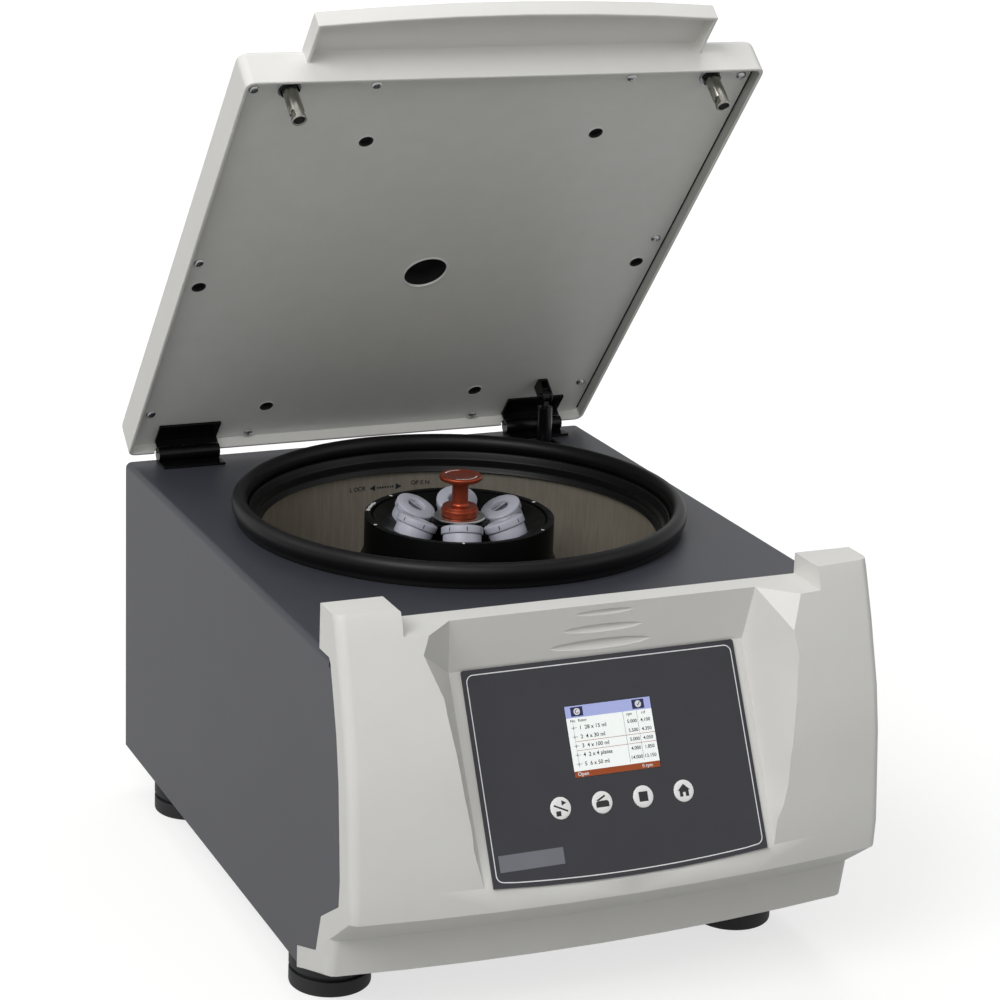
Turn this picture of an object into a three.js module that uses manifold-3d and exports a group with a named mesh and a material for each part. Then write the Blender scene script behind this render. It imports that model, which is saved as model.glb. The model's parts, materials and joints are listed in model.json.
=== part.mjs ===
// Benchtop laboratory centrifuge with a hinged lid, an angle rotor and a moulded front.
// Millimetres, +X to the right, +Y to the rear, +Z up, standing on its four feet.
// The origin is the bottom centre of the whole machine with its lid open.
import * as THREE from 'three';
import { mergeVertices } from 'three/addons/utils/BufferGeometryUtils.js';
import Module from 'manifold-3d';

const wasm = await Module();
wasm.setup();

// Housing
const width = 440;
const housing_depth = 500;
const housing_bottom = 40.5;
const housing_height = 266.5;
const sheet = 2;
const cover_fold_radius = 5;
const base_sheet = 3;
const fit_gap = 0.3;
const overrun = 20;
const top_z = housing_bottom + housing_height;
const half_width = width / 2;
const under_top = top_z - sheet;

// Bowl and the seal around its mouth
const bowl_place_share = 0.528;
const bowl_side_margin = 49.5;
const bowl_wall = 1.5;
const bowl_corner = 18;
const bowl_flange = 14;
const bowl_y = housing_depth * bowl_place_share;
const bowl_radius = half_width - bowl_side_margin;
const seal_reach = 19.7;
const seal_bulb_half_width = 6.5;
const seal_bulb_half_height = 8.2;
const seal_lip = 4;
const seal_lip_edge = 2.8;
const seal_lip_reach = 16;
const seal_skirt_depth = 17;
const seal_skirt_play = 0.7;
const seal_skirt_wall = 4.4;
const seal_outer = bowl_radius + seal_reach;
const seal_skirt_outer = bowl_radius - seal_skirt_play;
const seal_skirt_inner = seal_skirt_outer - seal_skirt_wall;

// Rotor, its tubes and the clamping knob
const tube_count = 6;
const tube_tilt = THREE.MathUtils.degToRad(25);
const first_tube_angle = THREE.MathUtils.degToRad(-109.5);
const tube_ring_radius = 42;
const tube_radius = 13.8;
const tube_wall = 1.2;
const tube_floor = 2.4;
const tube_length = 104;
const tube_cone_length = 15;
const tube_tip_radius = 4;
const tube_clearance = 0.35;
const cap_flange_z = 1.1;
const cap_flange_height = 5.5;
const cap_flange_step = 1.8;
const cap_hub_step = 2;
const cap_hub_height = 3;
const cap_skirt_wall = 1.8;
const cap_skirt_height = 10;
const cap_wall = 1.6;
const cap_recess_radius = 6.2;
const cap_recess_depth = 3.4;
const cap_grip_width = 2;
const cap_edge = 0.5;
const cap_skirt_radius = tube_radius + cap_skirt_wall;
const cap_flange_radius = cap_skirt_radius + cap_flange_step;
const cap_hub_radius = cap_flange_radius - cap_hub_step;
const rotor_rim_margin = 20.2;
const rotor_rim_width = 5.6;
const rotor_rim_z = 2;
const rotor_rim_step = 1.6;
const rotor_flare_drop = 28;
const rotor_flare_wall = 22;
const rotor_floor_wall = 8.1;
const rotor_floor_gap = 28;
const rotor_hub_recess = 18;
const rotor_band = 8;
const rotor_wall = 7;
const sin_tilt = Math.sin(tube_tilt);
const cos_tilt = Math.cos(tube_tilt);
const rotor_rim_radius = tube_ring_radius + cap_flange_radius + rotor_rim_margin;
const rotor_flare_radius = tube_ring_radius + tube_length * sin_tilt + rotor_flare_wall;
const rotor_depth = tube_length * cos_tilt + rotor_floor_wall + cap_wall;
const bowl_depth = rotor_depth + rotor_floor_gap;
const washer_radius = 22;
const washer_height = 3.7;
const washer_top_z = 2.2;
const washer_bevel = 0.8;
const knob_collar_radius = 15.5;
const knob_collar_top_z = 11;
const knob_stem_radius = 6.8;
const knob_disc_radius = 17.9;
const knob_disc_height = 4.3;
const knob_top_z = 37.5;
const knob_stud_radius = 4;
const knob_stud_length = 14;
const knob_bevel = 0.9;
const knob_collar_step = 2.4;
const knob_fillet = 2.4;

// Motor and shaft
const shaft_radius = 9;
const shaft_shoulder_radius = 14;
const shaft_collar_step = 12;
const shaft_top_z = -4.5;
const running_gap = 0.4;
const armature_radius = 28;
const armature_low_share = 0.1;
const armature_high_share = 0.77;
const motor_radius = 58;
const motor_wall = 6;
const motor_journal = 12;
const motor_clearance = 12.8;
const motor_end_height = 9;
const motor_end_edge = 3;
const motor_boss_radius = 20;
const motor_boss_height = 8;
const motor_fin_count = 12;
const motor_fin_depth = 4;
const motor_fin_width = 3;
const mount_radius = 12;
const mount_height = 22;
const mount_waist = 2;
const motor_plate_size = 170;
const motor_plate_sheet = 5;
const mount_inset = 18;
const boot_hole_radius = 32;
const boot_wall = 2.4;
const boot_ridge = 5;
const boot_clearance = 1.6;
const boot_crown = 4.8;

// Lid, modelled shut and then swung open about its hinge axis
const lid_height = 33;
const lid_wall = 3;
const lid_edge_radius = 5.4;
const lid_corner_radius = 7;
const lid_inner_corner = 5.5;
const lid_gap = 11.5;
const lid_front_inset = 1.7;
const lid_rear_inset = 6.3;
const lid_open = THREE.MathUtils.degToRad(50.2);
const hinge_inset = 11;
const hinge_rise = 8;
const liner_recess = 10;
const liner_sheet = 1.5;
const liner_margin = 0.4;
const liner_shelf = 2.5;
const port_radius = 19.4;
const port_offset = 1.3;
const plug_hole_radius = 5.2;
const rear_plug_inset = 47.5;
const side_plug_inset = 20;
const side_plug_share = 0.4644;
const front_plug_inset = 85;
const middle_plug_inset = 120;
const lid_width = width;
const lid_rear_y = housing_depth - lid_rear_inset;
const lid_length = lid_rear_y - lid_front_inset;
const hinge_y = housing_depth - hinge_inset;
const port_u = lid_rear_y - bowl_y + port_offset;
const handle_inset = 52;
const handle_reach = 41;
const handle_bulge = 17;
const handle_height = 14.6;
const handle_wall = 3;

// Latch: a pin under the lid, and a housing with a sliding bolt under the top
const latch_side_inset = 40;
const latch_front_inset = 18;
const pin_radius = 6;
const pin_length = 33;
const pin_neck_radius = 3.6;
const pin_neck_height = 5.6;
const pin_tip_height = 2.8;
const pin_bevel = 1.2;
const pin_foot_radius = 8.5;
const pin_foot_height = 3;
const latch_hole_radius = 9;
const latch_block_x = 34;
const latch_block_y = 30;
const latch_block_z = 34;
const bolt_height = 4;
const bolt_width = 8;
const bolt_length = 22;
const bolt_travel = 4;
const bolt_clearance = 0.6;
const bolt_tail = 6;

// Hinges
const hinge_side_inset = 53.5;
const hinge_length = 56;
const hinge_side_room = 0.8;
const knuckle_count = 5;
const knuckle_radius = 6.4;
const hinge_pin_radius = 2.6;
const leaf_sheet = 2.2;
const leaf_depth = 14.8;
const leaf_tail = 3.2;
const lid_leaf_length = 19;

// Gas strut beside the right-hand hinge
const strut_side_inset = 55.5;
const strut_u = 52;
const strut_drop = 5;
const strut_foot_inset = 46;
const strut_foot_below_top = 100;
const strut_cylinder_radius = 7;
const strut_cylinder_wall = 1.3;
const strut_cylinder_start = 10;
const strut_cylinder_length = 62;
const strut_rod_radius = 3;
const strut_piston_radius = 5.2;
const strut_piston_height = 4;
const strut_rod_length = 86;
const strut_gland_height = 4;
const strut_eye_radius = 5.4;
const strut_eye_width = 5;
const strut_pin_radius = 2.5;
const strut_pin_slack = 0.3;
const strut_open_slack = 3.8;
const strut_cheek_sheet = 2;
const strut_cheek_radius = 6.5;
const strut_slot_width = 24;
const strut_slot_front_reach = 24;
const strut_slot_rear_reach = 14;
const strut_neck_half = 2.5;
const strut_pin_end = 2;
const foot_plate_half = 11;
const foot_arm_radius = 4;

// Front moulding
const bezel_wall = 3;
const bezel_bow = 16;
const bezel_side_radius = 8;
const bezel_reach = 75;
const bezel_low_z = 58;
const bezel_steps = 3;
const ear_width = 48.3;
const ear_inner = half_width - ear_width;
const ear_rise = 35;
const ledge_rise = 18;
const ledge_depth = 20;
const side_band = 23;
const band_drop = 5.8;
const skirt_back = 4.6;
const skirt_rise = 11.5;
const tab_reach = 36;
const tab_low_z = 37;
const tab_height = 18;
const recess_side_margin = 100;
const recess_top_extra = 7;
const recess_slope_extra = 3.5;
const recess_least_depth = 9;
const recess_low_margin = 1.6;
const recess_low_mouth = 2.5;
const recess_mouth_extra = 33;
const groove_rows = 3;
const groove_below_ledge = 7;
const groove_pitch = 13.5;
const groove_half_width = 24;
const groove_width_step = 9.5;
const groove_half_height = 2.6;
const groove_height_step = 1.2;
const groove_depth = 2.2;

// Places along the front line, as shares of the moulding's reach and of its height
const front_line_shares = [
  [0.373, 0],
  [0.46, 0.113],
  [0.981, 0.215],
  [1, 0.289],
  [0.967, 0.387],
  [0.907, 0.546],
  [0.82, 0.669],
  [0.62, 0.845],
  [0.507, 0.93],
  [0.44, 0.979],
  [0.4, 1],
];

// Control panel on the slope of the recess
const panel_top_y = -11.7;
const panel_below_top = 26.1;
const panel_top_z = top_z - panel_below_top;
const panel_lean = THREE.MathUtils.degToRad(27.7);
const panel_side_gap = 6.5;
const panel_height = 161;
const panel_bow = 10;
const recess_foot_half = half_width - recess_side_margin;
const panel_half_width = recess_foot_half - panel_side_gap;
const recess_run = panel_height + panel_bow / 2 + recess_low_margin;
const panel_sheet = 1.6;
const panel_corner = 1.2;
const display_width = 71.5;
const display_height = 54;
const display_from_top = 35.5;
const display_corner = 1.5;
const display_sheet = 1.4;
const key_count = 4;
const key_pitch = 34.1;
const key_from_top = 109.7;
const key_radius = 8.6;
const key_sheet = 1.4;
const key_rest = 0.95;
const board_side_gap = 18.5;
const board_end_gap = 20;
const board_sheet = 1.6;
const board_standoff = 6;
const standoff_radius = 3.5;
const board_inset = 8;

// Rear panel, inlet and switch
const rear_sheet = 2;
const louvre_columns = 3;
const louvre_rows = 7;
const louvre_margin = 82;
const louvre_gap = 30;
const louvre_height = 5;
const louvre_pitch_z = 15;
const louvre_below_top = 102;
const inlet_side_inset = 80;
const inlet_rise = 45.5;
const inlet_width = 48;
const inlet_height = 58;
const inlet_depth = 26;
const inlet_flange = 3;
const inlet_flange_sheet = 2;
const inlet_socket_width = 24;
const inlet_socket_height = 16.5;
const inlet_socket_depth = 17;
const inlet_blade_width = 4;
const inlet_blade_sheet = 2;
const inlet_blade_length = 12;
const inlet_blade_gap = 7.2;
const inlet_blade_drop = 3.3;
const inlet_split = 14;
const rocker_width = 20;
const rocker_height = 13;
const rocker_depth = 7;
const rocker_dip = 0.6;
const rocker_tilt = THREE.MathUtils.degToRad(9);
const rocker_clearance = 0.6;
const rocker_pocket_depth = 8.8;

// Feet
const foot_side_inset = 42.4;
const foot_front_y = 77;
const foot_rear_inset = 63;
const foot_radius = 32.5;
const foot_neck_radius = 20;
const foot_disc_height = 13;
const foot_groove = 3;
const foot_groove_depth = 3;
const foot_bevel = 2;

// Base plate and the flange behind the front moulding
const base_lip = 12;
const flange_drop = 24;

// Facets of the round pieces
const wide_segments = 32;
const rotor_segments = 24;
const fine_segments = 16;
const round_segments = 12;
const small_segments = 12;
const tube_segments = 12;

// Places that follow from the sizes above
const latch_x = half_width - latch_side_inset;
const latch_u = lid_length - latch_front_inset;
const latch_y = lid_rear_y - latch_u;
const hinge_x = half_width - hinge_side_inset;
const hinge_z = top_z + hinge_rise;
const strut_x = half_width - strut_side_inset;
const strut_foot_y = housing_depth - strut_foot_inset;
const louvre_pitch_x = (width - 2 * louvre_margin) / louvre_columns;
const louvre_width = louvre_pitch_x - louvre_gap;
const louvre_centre_z = top_z - louvre_below_top;
const inlet_x = inlet_side_inset - half_width;
const inlet_z = housing_bottom + inlet_rise;
const foot_x = half_width - foot_side_inset;
const foot_rear_y = housing_depth - foot_rear_inset;
const board_width = 2 * (panel_half_width - board_side_gap);
const board_height = panel_height - 2 * board_end_gap;

function axis_z(offset) {
  return top_z + offset;
}

function material(color, roughness, metalness) {
  return new THREE.MeshStandardMaterial({ color, roughness, metalness });
}

const anthracite = material(0x3c3d44, 0.6, 0.2);
const pale_moulding = material(0xc9c8c2, 0.5, 0);
const foil = material(0x3a3a42, 0.4, 0);
const screen = material(0xe8ecf2, 0.2, 0);
const key_white = material(0xf0f0ee, 0.4, 0);
const stainless = material(0x8f8c84, 0.3, 0.9);
const liner_grey = material(0x8b8c88, 0.4, 0.7);
const bright_steel = material(0xb8b9ba, 0.25, 0.95);
const zinc = material(0xa4a7ab, 0.4, 0.8);
const rubber = material(0x1b1b1d, 0.75, 0);
const black_steel = material(0x17171a, 0.45, 0.5);
const black_anodised = material(0x131316, 0.35, 0.7);
const bronze_anodised = material(0x9c3a20, 0.3, 0.8);
const tube_plastic = material(0xd8dce8, 0.35, 0);
const cap_plastic = material(0xb4b7cc, 0.45, 0);
const black_plastic = material(0x19191b, 0.5, 0);
const board_green = material(0x1f5a3a, 0.6, 0);
const motor_cast = material(0x6d7076, 0.5, 0.6);

// Turns a closed three.js geometry into a solid, with its faces pointing out.
function solid(geometry) {
  const bare = geometry.index ? geometry.toNonIndexed() : geometry.clone();
  bare.deleteAttribute('normal');
  bare.deleteAttribute('uv');
  const merged = mergeVertices(bare, 1e-4);
  const points = merged.attributes.position;
  const triangles = [];
  let volume = 0;
  const a = new THREE.Vector3();
  const b = new THREE.Vector3();
  const c = new THREE.Vector3();
  for (let i = 0; i < merged.index.count; i += 3) {
    const corner = [0, 1, 2].map((k) => merged.index.getX(i + k));
    if (new Set(corner).size === 3) {
      a.fromBufferAttribute(points, corner[0]);
      b.fromBufferAttribute(points, corner[1]);
      c.fromBufferAttribute(points, corner[2]);
      volume += a.dot(b.clone().cross(c));
      triangles.push(corner);
    }
  }
  const inside_out = volume < 0;
  const order = triangles.flatMap(([i, j, k]) => (inside_out ? [i, k, j] : [i, j, k]));
  return new wasm.Manifold(new wasm.Mesh({
    numProp: 3,
    vertProperties: new Float32Array(points.array),
    triVerts: new Uint32Array(order),
  }));
}

// Makes the named mesh of a finished solid.
function piece(name, body, look) {
  const mesh = body.getMesh();
  const geometry = new THREE.BufferGeometry();
  geometry.setAttribute('position', new THREE.BufferAttribute(mesh.vertProperties, 3));
  geometry.setIndex(new THREE.BufferAttribute(mesh.triVerts, 1));
  geometry.computeVertexNormals();
  const result = new THREE.Mesh(geometry, look);
  result.name = name;
  return result;
}

function moved(geometry, x, y, z) {
  geometry.translate(x, y, z);
  return geometry;
}

// A block between two corners.
function block(low, high) {
  const size = high.map((value, k) => value - low[k]);
  const centre = high.map((value, k) => (value + low[k]) / 2);
  return solid(moved(new THREE.BoxGeometry(...size), ...centre));
}

// A revolved solid about the Z axis; the profile is a list of [radius, height] points.
function turned(profile, segments) {
  const closed = profile.map(([r, z]) => new THREE.Vector2(r, z));
  const first = profile[0];
  const last = profile[profile.length - 1];
  if (first[0] > 0 || last[0] > 0) {
    closed.push(closed[0].clone());
  }
  const geometry = new THREE.LatheGeometry(closed, segments);
  geometry.rotateX(Math.PI / 2);
  return solid(geometry);
}

// A round bar from one height to another about a vertical axis.
function bar(radius, low, high, segments = round_segments) {
  return turned([[0, low], [radius, low], [radius, high], [0, high]], segments);
}

// A round bar along X.
function bar_x(radius, low, high, y, z, segments = small_segments) {
  const geometry = new THREE.CylinderGeometry(radius, radius, high - low, segments);
  geometry.rotateZ(Math.PI / 2);
  return solid(moved(geometry, (low + high) / 2, y, z));
}

function outline_shape(points) {
  return new THREE.Shape(points.map(([x, y]) => new THREE.Vector2(x, y)));
}

function extruded(shape, depth) {
  return new THREE.ExtrudeGeometry(shape, { depth, bevelEnabled: false, curveSegments: 6 });
}

// An outline of [x, y] points raised from one height to another.
function raised(outline, low, high) {
  const shape = outline instanceof THREE.Shape ? outline : outline_shape(outline);
  return solid(moved(extruded(shape, high - low), 0, 0, low));
}

// A side profile of [y, z] points drawn out along X.
function drawn_x(profile, low, high) {
  const geometry = extruded(outline_shape(profile), high - low);
  geometry.rotateY(Math.PI / 2);
  geometry.rotateX(Math.PI / 2);
  return solid(moved(geometry, low, 0, 0));
}

// A front profile of [x, z] points drawn out along Y.
function drawn_y(profile, low, high) {
  const geometry = extruded(outline_shape(profile), high - low);
  geometry.rotateX(Math.PI / 2);
  return solid(moved(geometry, 0, high, 0));
}

// A rectangle with round corners, as a list of points.
function round_rectangle(x0, y0, x1, y1, radius, steps = 3) {
  const points = [];
  const corners = [
    [x1 - radius, y0 + radius, -1],
    [x1 - radius, y1 - radius, 0],
    [x0 + radius, y1 - radius, 1],
    [x0 + radius, y0 + radius, 2],
  ];
  for (const [cx, cy, quarter] of corners) {
    for (let i = 0; i <= steps; i += 1) {
      const angle = (quarter + i / steps) * Math.PI / 2;
      points.push([cx + radius * Math.cos(angle), cy + radius * Math.sin(angle)]);
    }
  }
  return points;
}

// Joins the sections of a loft, each a closed ring of the same number of points. The ends are
// closed in the plane of the two axes that are named.
function lofted(rings, across, up) {
  const count = rings[0].length;
  const positions = rings.flat(2);
  const index = [];
  for (let r = 0; r < rings.length - 1; r += 1) {
    for (let i = 0; i < count; i += 1) {
      const j = (i + 1) % count;
      const a = r * count + i;
      const b = r * count + j;
      index.push(a, b, b + count, a, b + count, a + count);
    }
  }
  const last = (rings.length - 1) * count;
  for (const [ring, start, sense] of [[rings[0], 0, -1], [rings[rings.length - 1], last, 1]]) {
    const flat = ring.map((point) => new THREE.Vector2(point[across], point[up]));
    const way = sense * Math.sign(THREE.ShapeUtils.area(flat));
    for (const [i, j, k] of THREE.ShapeUtils.triangulateShape(flat, [])) {
      const own = Math.sign(THREE.ShapeUtils.area([flat[i], flat[j], flat[k]]));
      const [second, third] = own === way ? [j, k] : [k, j];
      index.push(start + i, start + second, start + third);
    }
  }
  const geometry = new THREE.BufferGeometry();
  geometry.setAttribute('position', new THREE.Float32BufferAttribute(positions, 3));
  geometry.setIndex(index);
  return solid(geometry);
}

const model = new THREE.Group();

// Front moulding: the front leans back over its height and bows forward in the middle. The
// front line is its side profile, and the back line keeps one band behind it.
const ear_top_z = top_z + ear_rise;
const ledge_z = top_z + ledge_rise;
const front_line = front_line_shares.map(([reach_share, height_share]) => [
  -bezel_reach * reach_share,
  bezel_low_z + (ear_top_z - bezel_low_z) * height_share,
]);

// The front line's Y at a height, before the bow.
function front_y(z) {
  const above = front_line.findIndex(([, level]) => level >= z);
  const upper = above < 0 ? front_line.length - 1 : Math.max(1, above);
  const [y0, z0] = front_line[upper - 1];
  const [y1, z1] = front_line[upper];
  return y0 + (y1 - y0) * (Math.min(z, z1) - z0) / (z1 - z0);
}

// How far the front stands forward of its side profile at a distance from the middle.
function front_bow(x) {
  const over = Math.max(0, Math.abs(x) - (half_width - bezel_side_radius));
  const corner = bezel_side_radius - Math.sqrt(Math.max(0, bezel_side_radius ** 2 - over ** 2));
  return bezel_bow * (1 - (x / half_width) ** 2) - corner;
}

const cheek_points = front_line.slice(2, 8);
const step_point = front_line[1];
const side_top = [front_y(top_z) + side_band, top_z + fit_gap];
const back_line = [
  [0, ear_top_z],
  [0, top_z + fit_gap],
  side_top,
  ...cheek_points.map(([y, z]) => [y + side_band, z + band_drop]).reverse(),
  [step_point[0] + side_band - bezel_wall, step_point[1] + skirt_rise],
  [-skirt_back, bezel_low_z + skirt_rise],
  [tab_reach, tab_low_z + tab_height],
  [tab_reach, tab_low_z],
];
const middle_steps = 8;

function bezel_stations(reach) {
  const outer = [];
  for (let i = 0; i < bezel_steps; i += 1) {
    const angle = i / bezel_steps * Math.PI / 2;
    outer.push(reach - bezel_side_radius * (1 - Math.cos(angle)));
  }
  const middle = [];
  for (let i = 0; i <= middle_steps; i += 1) {
    middle.push((reach - bezel_side_radius) * (1 - 2 * i / middle_steps));
  }
  return [...outer, ...middle, ...outer.map((x) => -x).reverse()];
}

const bezel_outside = lofted(bezel_stations(half_width).map((x) => [
  ...front_line.map(([y, z]) => [x, y - front_bow(x), z]),
  ...back_line.map(([y, z]) => [x, y, z]),
]), 1, 2);

// The hollow behind the moulding: open to the rear below the housing's top, closed above it.
const inner_half = half_width - bezel_wall;
const inner_top = ear_top_z - bezel_wall;
const inner_rear = tab_reach + overrun;
const bezel_inside = lofted(bezel_stations(inner_half).map((x) => {
  const bow = front_bow(x * half_width / inner_half) - bezel_wall;
  const levels = front_line.map(([y, z], i) => {
    const raised_z = i === 0 ? z + bezel_wall : Math.min(z, inner_top);
    return [x, y - bow, raised_z - (i === front_line.length - 1 ? 0 : fit_gap)];
  });
  return [
    ...levels,
    [x, -bezel_wall, inner_top],
    [x, -bezel_wall, top_z - bezel_wall],
    [x, inner_rear, top_z - bezel_wall],
    [x, inner_rear, tab_low_z + bezel_wall],
    [x, tab_reach, tab_low_z + bezel_wall],
  ];
}), 1, 2);

// The recess in the front: an upright wall under the ledge, the sloping seat of the control
// panel below it, and side walls that flare to the front. It can be grown to leave a wall.
const recess_low_z = panel_top_z - recess_run * Math.cos(panel_lean);
const slope_drop = (panel_top_z - recess_low_z) / 4;
const recess_levels = [
  ledge_z + overrun,
  ledge_z,
  panel_top_z,
  panel_top_z - slope_drop,
  panel_top_z - 2 * slope_drop,
  panel_top_z - 3 * slope_drop,
  recess_low_z,
];

function recess_cut(grow) {
  const span = ledge_z - recess_low_z;
  const rings = recess_levels.map((z, i) => {
    const height_share = Math.min(1, (z - recess_low_z) / span);
    const on_wall = z > panel_top_z;
    const slope_y = panel_top_y - Math.tan(panel_lean) * (panel_top_z - z);
    const floor = on_wall ? -ledge_depth : slope_y;
    const foot_extra = on_wall ? recess_top_extra : recess_slope_extra * height_share;
    const foot = recess_foot_half + foot_extra;
    const mouth_extra = recess_low_mouth + (recess_mouth_extra - recess_low_mouth) * height_share;
    const mouth = recess_foot_half + mouth_extra;
    const front = front_y(Math.min(z, ledge_z)) - front_bow(mouth);
    const out = Math.max(recess_least_depth, floor - front);
    const reach = out + overrun;
    const low = i === recess_levels.length - 1 ? grow : 0;
    const wide = foot + (mouth - foot) / out * reach;
    return [
      [-foot - grow, floor + grow, z - low],
      [foot + grow, floor + grow, z - low],
      [wide + grow, floor - reach, z - low],
      [-wide - grow, floor - reach, z - low],
    ];
  });
  return lofted(rings, 0, 1);
}

const between_ears = block(
  [-ear_inner, -bezel_reach * 2, ledge_z],
  [ear_inner, overrun, ear_top_z + overrun],
);
const behind_ledge = block(
  [-ear_inner - bezel_wall, -bezel_reach * 2, ledge_z - bezel_wall],
  [ear_inner + bezel_wall, 0, ear_top_z + overrun],
);

// Finger grooves in the upright wall, wider and taller towards the panel.
function finger_groove(row) {
  const geometry = new THREE.SphereGeometry(1, small_segments, small_segments / 2);
  const half = groove_half_width + groove_width_step * row;
  const tall = groove_half_height + groove_height_step * row;
  geometry.scale(half, groove_depth, tall);
  const z = ledge_z - groove_below_ledge - groove_pitch * row;
  const share = (ledge_z - z) / (ledge_z - panel_top_z);
  const y = -ledge_depth + (panel_top_y + ledge_depth) * share;
  return solid(moved(geometry, 0, y, z));
}

// The recess stands into the housing behind the moulding's own band.
const front_mass = lofted(bezel_stations(half_width).map((x) => [
  ...front_line.map(([y, z]) => [x, y - front_bow(x), z]),
  [x, inner_rear, ear_top_z],
  [x, inner_rear, bezel_low_z],
]), 1, 2);
let bezel = bezel_outside.subtract(bezel_inside.subtract(behind_ledge));
bezel = bezel.add(front_mass.intersect(recess_cut(bezel_wall)));
bezel = bezel.subtract(between_ears).subtract(recess_cut(0));
for (let row = 0; row < groove_rows; row += 1) {
  bezel = bezel.subtract(finger_groove(row));
}

// Everything on the panel's slope is placed from its top edge: X across, Y up the slope, Z out.
const panel_frame = new THREE.Group();
panel_frame.position.set(0, panel_top_y, panel_top_z);
panel_frame.rotation.x = Math.PI / 2 - panel_lean;
const slope_matrix = new THREE.Matrix4().makeRotationX(Math.PI / 2 - panel_lean);
slope_matrix.setPosition(0, panel_top_y, panel_top_z);

function on_slope(body) {
  return body.transform(slope_matrix.elements);
}

const board_behind = bezel_wall + board_standoff;
const board_middle = -panel_height / 2;
for (const sx of [-1, 1]) {
  for (const sy of [-1, 1]) {
    const peg = bar(standoff_radius, -board_behind, -bezel_wall / 2, small_segments);
    const x = sx * (board_width / 2 - board_inset);
    const y = board_middle + sy * (board_height / 2 - board_inset);
    bezel = bezel.add(on_slope(peg.translate([x, y, 0])));
  }
}
model.add(piece('front_bezel', bezel, pale_moulding));

// Control panel foil with a bowed lower edge, a window for the display and holes for the keys.
const key_y = -key_from_top;
const key_x = (k) => key_pitch * (k - (key_count - 1) / 2);
const foil_outline = new THREE.Shape();
foil_outline.moveTo(-panel_half_width, -panel_height);
foil_outline.quadraticCurveTo(0, -panel_height - panel_bow, panel_half_width, -panel_height);
foil_outline.lineTo(panel_half_width, -panel_corner);
foil_outline.lineTo(panel_half_width - panel_corner, 0);
foil_outline.lineTo(-panel_half_width + panel_corner, 0);
foil_outline.lineTo(-panel_half_width, -panel_corner);
let foil_body = raised(foil_outline, fit_gap, fit_gap + panel_sheet);
const display_outline = (grow) => round_rectangle(
  -display_width / 2 - grow,
  -display_from_top - display_height - grow,
  display_width / 2 + grow,
  -display_from_top + grow,
  display_corner + grow,
  2,
);
foil_body = foil_body.subtract(raised(display_outline(fit_gap), 0, overrun));
for (let k = 0; k < key_count; k += 1) {
  const key_hole = bar(key_radius + fit_gap, 0, overrun);
  foil_body = foil_body.subtract(key_hole.translate([key_x(k), key_y, 0]));
}
panel_frame.add(piece('control_panel', foil_body, foil));
panel_frame.add(piece('display', raised(display_outline(0), fit_gap, fit_gap + display_sheet), screen));
const key_names = ['key_start', 'key_lid', 'key_stop', 'key_home'];
key_names.forEach((name, k) => {
  const key = piece(name, bar(key_radius, key_rest, key_rest + key_sheet), key_white);
  key.position.set(key_x(k), key_y, 0);
  panel_frame.add(key);
});
const board = block(
  [-board_width / 2, board_middle - board_height / 2, -board_behind - fit_gap - board_sheet],
  [board_width / 2, board_middle + board_height / 2, -board_behind - fit_gap],
);
panel_frame.add(piece('control_board', board, board_green));
model.add(panel_frame);

// Housing cover: top and sides folded from one sheet, cut at the front to the moulding's line.
const fold_steps = 3;

function cover_section(inset, low) {
  const reach = half_width - inset;
  const high = top_z - inset;
  const radius = cover_fold_radius - inset;
  const points = [[-reach, low]];
  for (let i = 0; i <= fold_steps; i += 1) {
    const angle = Math.PI - i / fold_steps * Math.PI / 2;
    points.push([radius - reach + radius * Math.cos(angle), high - radius + radius * Math.sin(angle)]);
  }
  return [...points, ...points.map(([x, z]) => [-x, z]).reverse()];
}

const cover_front = -bezel_reach;
let cover = drawn_y(cover_section(0, housing_bottom), cover_front, housing_depth);
cover = cover.subtract(drawn_y(
  cover_section(sheet, housing_bottom - overrun),
  cover_front - overrun,
  housing_depth + overrun,
));
const front_cut = drawn_x([
  [-bezel_reach * 2, -overrun],
  [tab_reach + fit_gap, -overrun],
  ...back_line.slice(2).reverse().map(([y, z]) => [y + fit_gap, z]),
  [side_top[0] + fit_gap, ear_top_z],
  [-bezel_reach * 2, ear_top_z],
], -width, width);
const top_cut = block(
  [-width, -bezel_reach * 2, under_top - cover_fold_radius],
  [width, fit_gap, ear_top_z],
);
const corner_keep = block(
  [-width, side_top[0] + fit_gap, housing_bottom],
  [width, overrun, top_z + overrun],
);
cover = cover.subtract(front_cut).subtract(top_cut.subtract(corner_keep));
cover = cover.subtract(block(
  [-ear_inner, -bezel_reach, under_top - overrun],
  [ear_inner, fit_gap, ear_top_z],
));
cover = cover.add(block(
  [-half_width + cover_fold_radius, fit_gap, top_z - flange_drop],
  [half_width - cover_fold_radius, fit_gap + sheet, under_top + sheet / 2],
));
const mouth = bar(bowl_radius + bowl_wall, under_top - overrun, top_z + overrun, wide_segments);
cover = cover.subtract(mouth.translate([0, bowl_y, 0]));
for (const side of [-1, 1]) {
  const hole = bar(latch_hole_radius, under_top - fit_gap, top_z + overrun);
  cover = cover.subtract(hole.translate([side * latch_x, latch_y, 0]));
}
cover = cover.subtract(block(
  [strut_x - strut_slot_width / 2, strut_foot_y - strut_slot_front_reach, under_top - overrun],
  [strut_x + strut_slot_width / 2, strut_foot_y + strut_slot_rear_reach, top_z + overrun],
));
model.add(piece('housing_cover', cover, anthracite));

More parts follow.
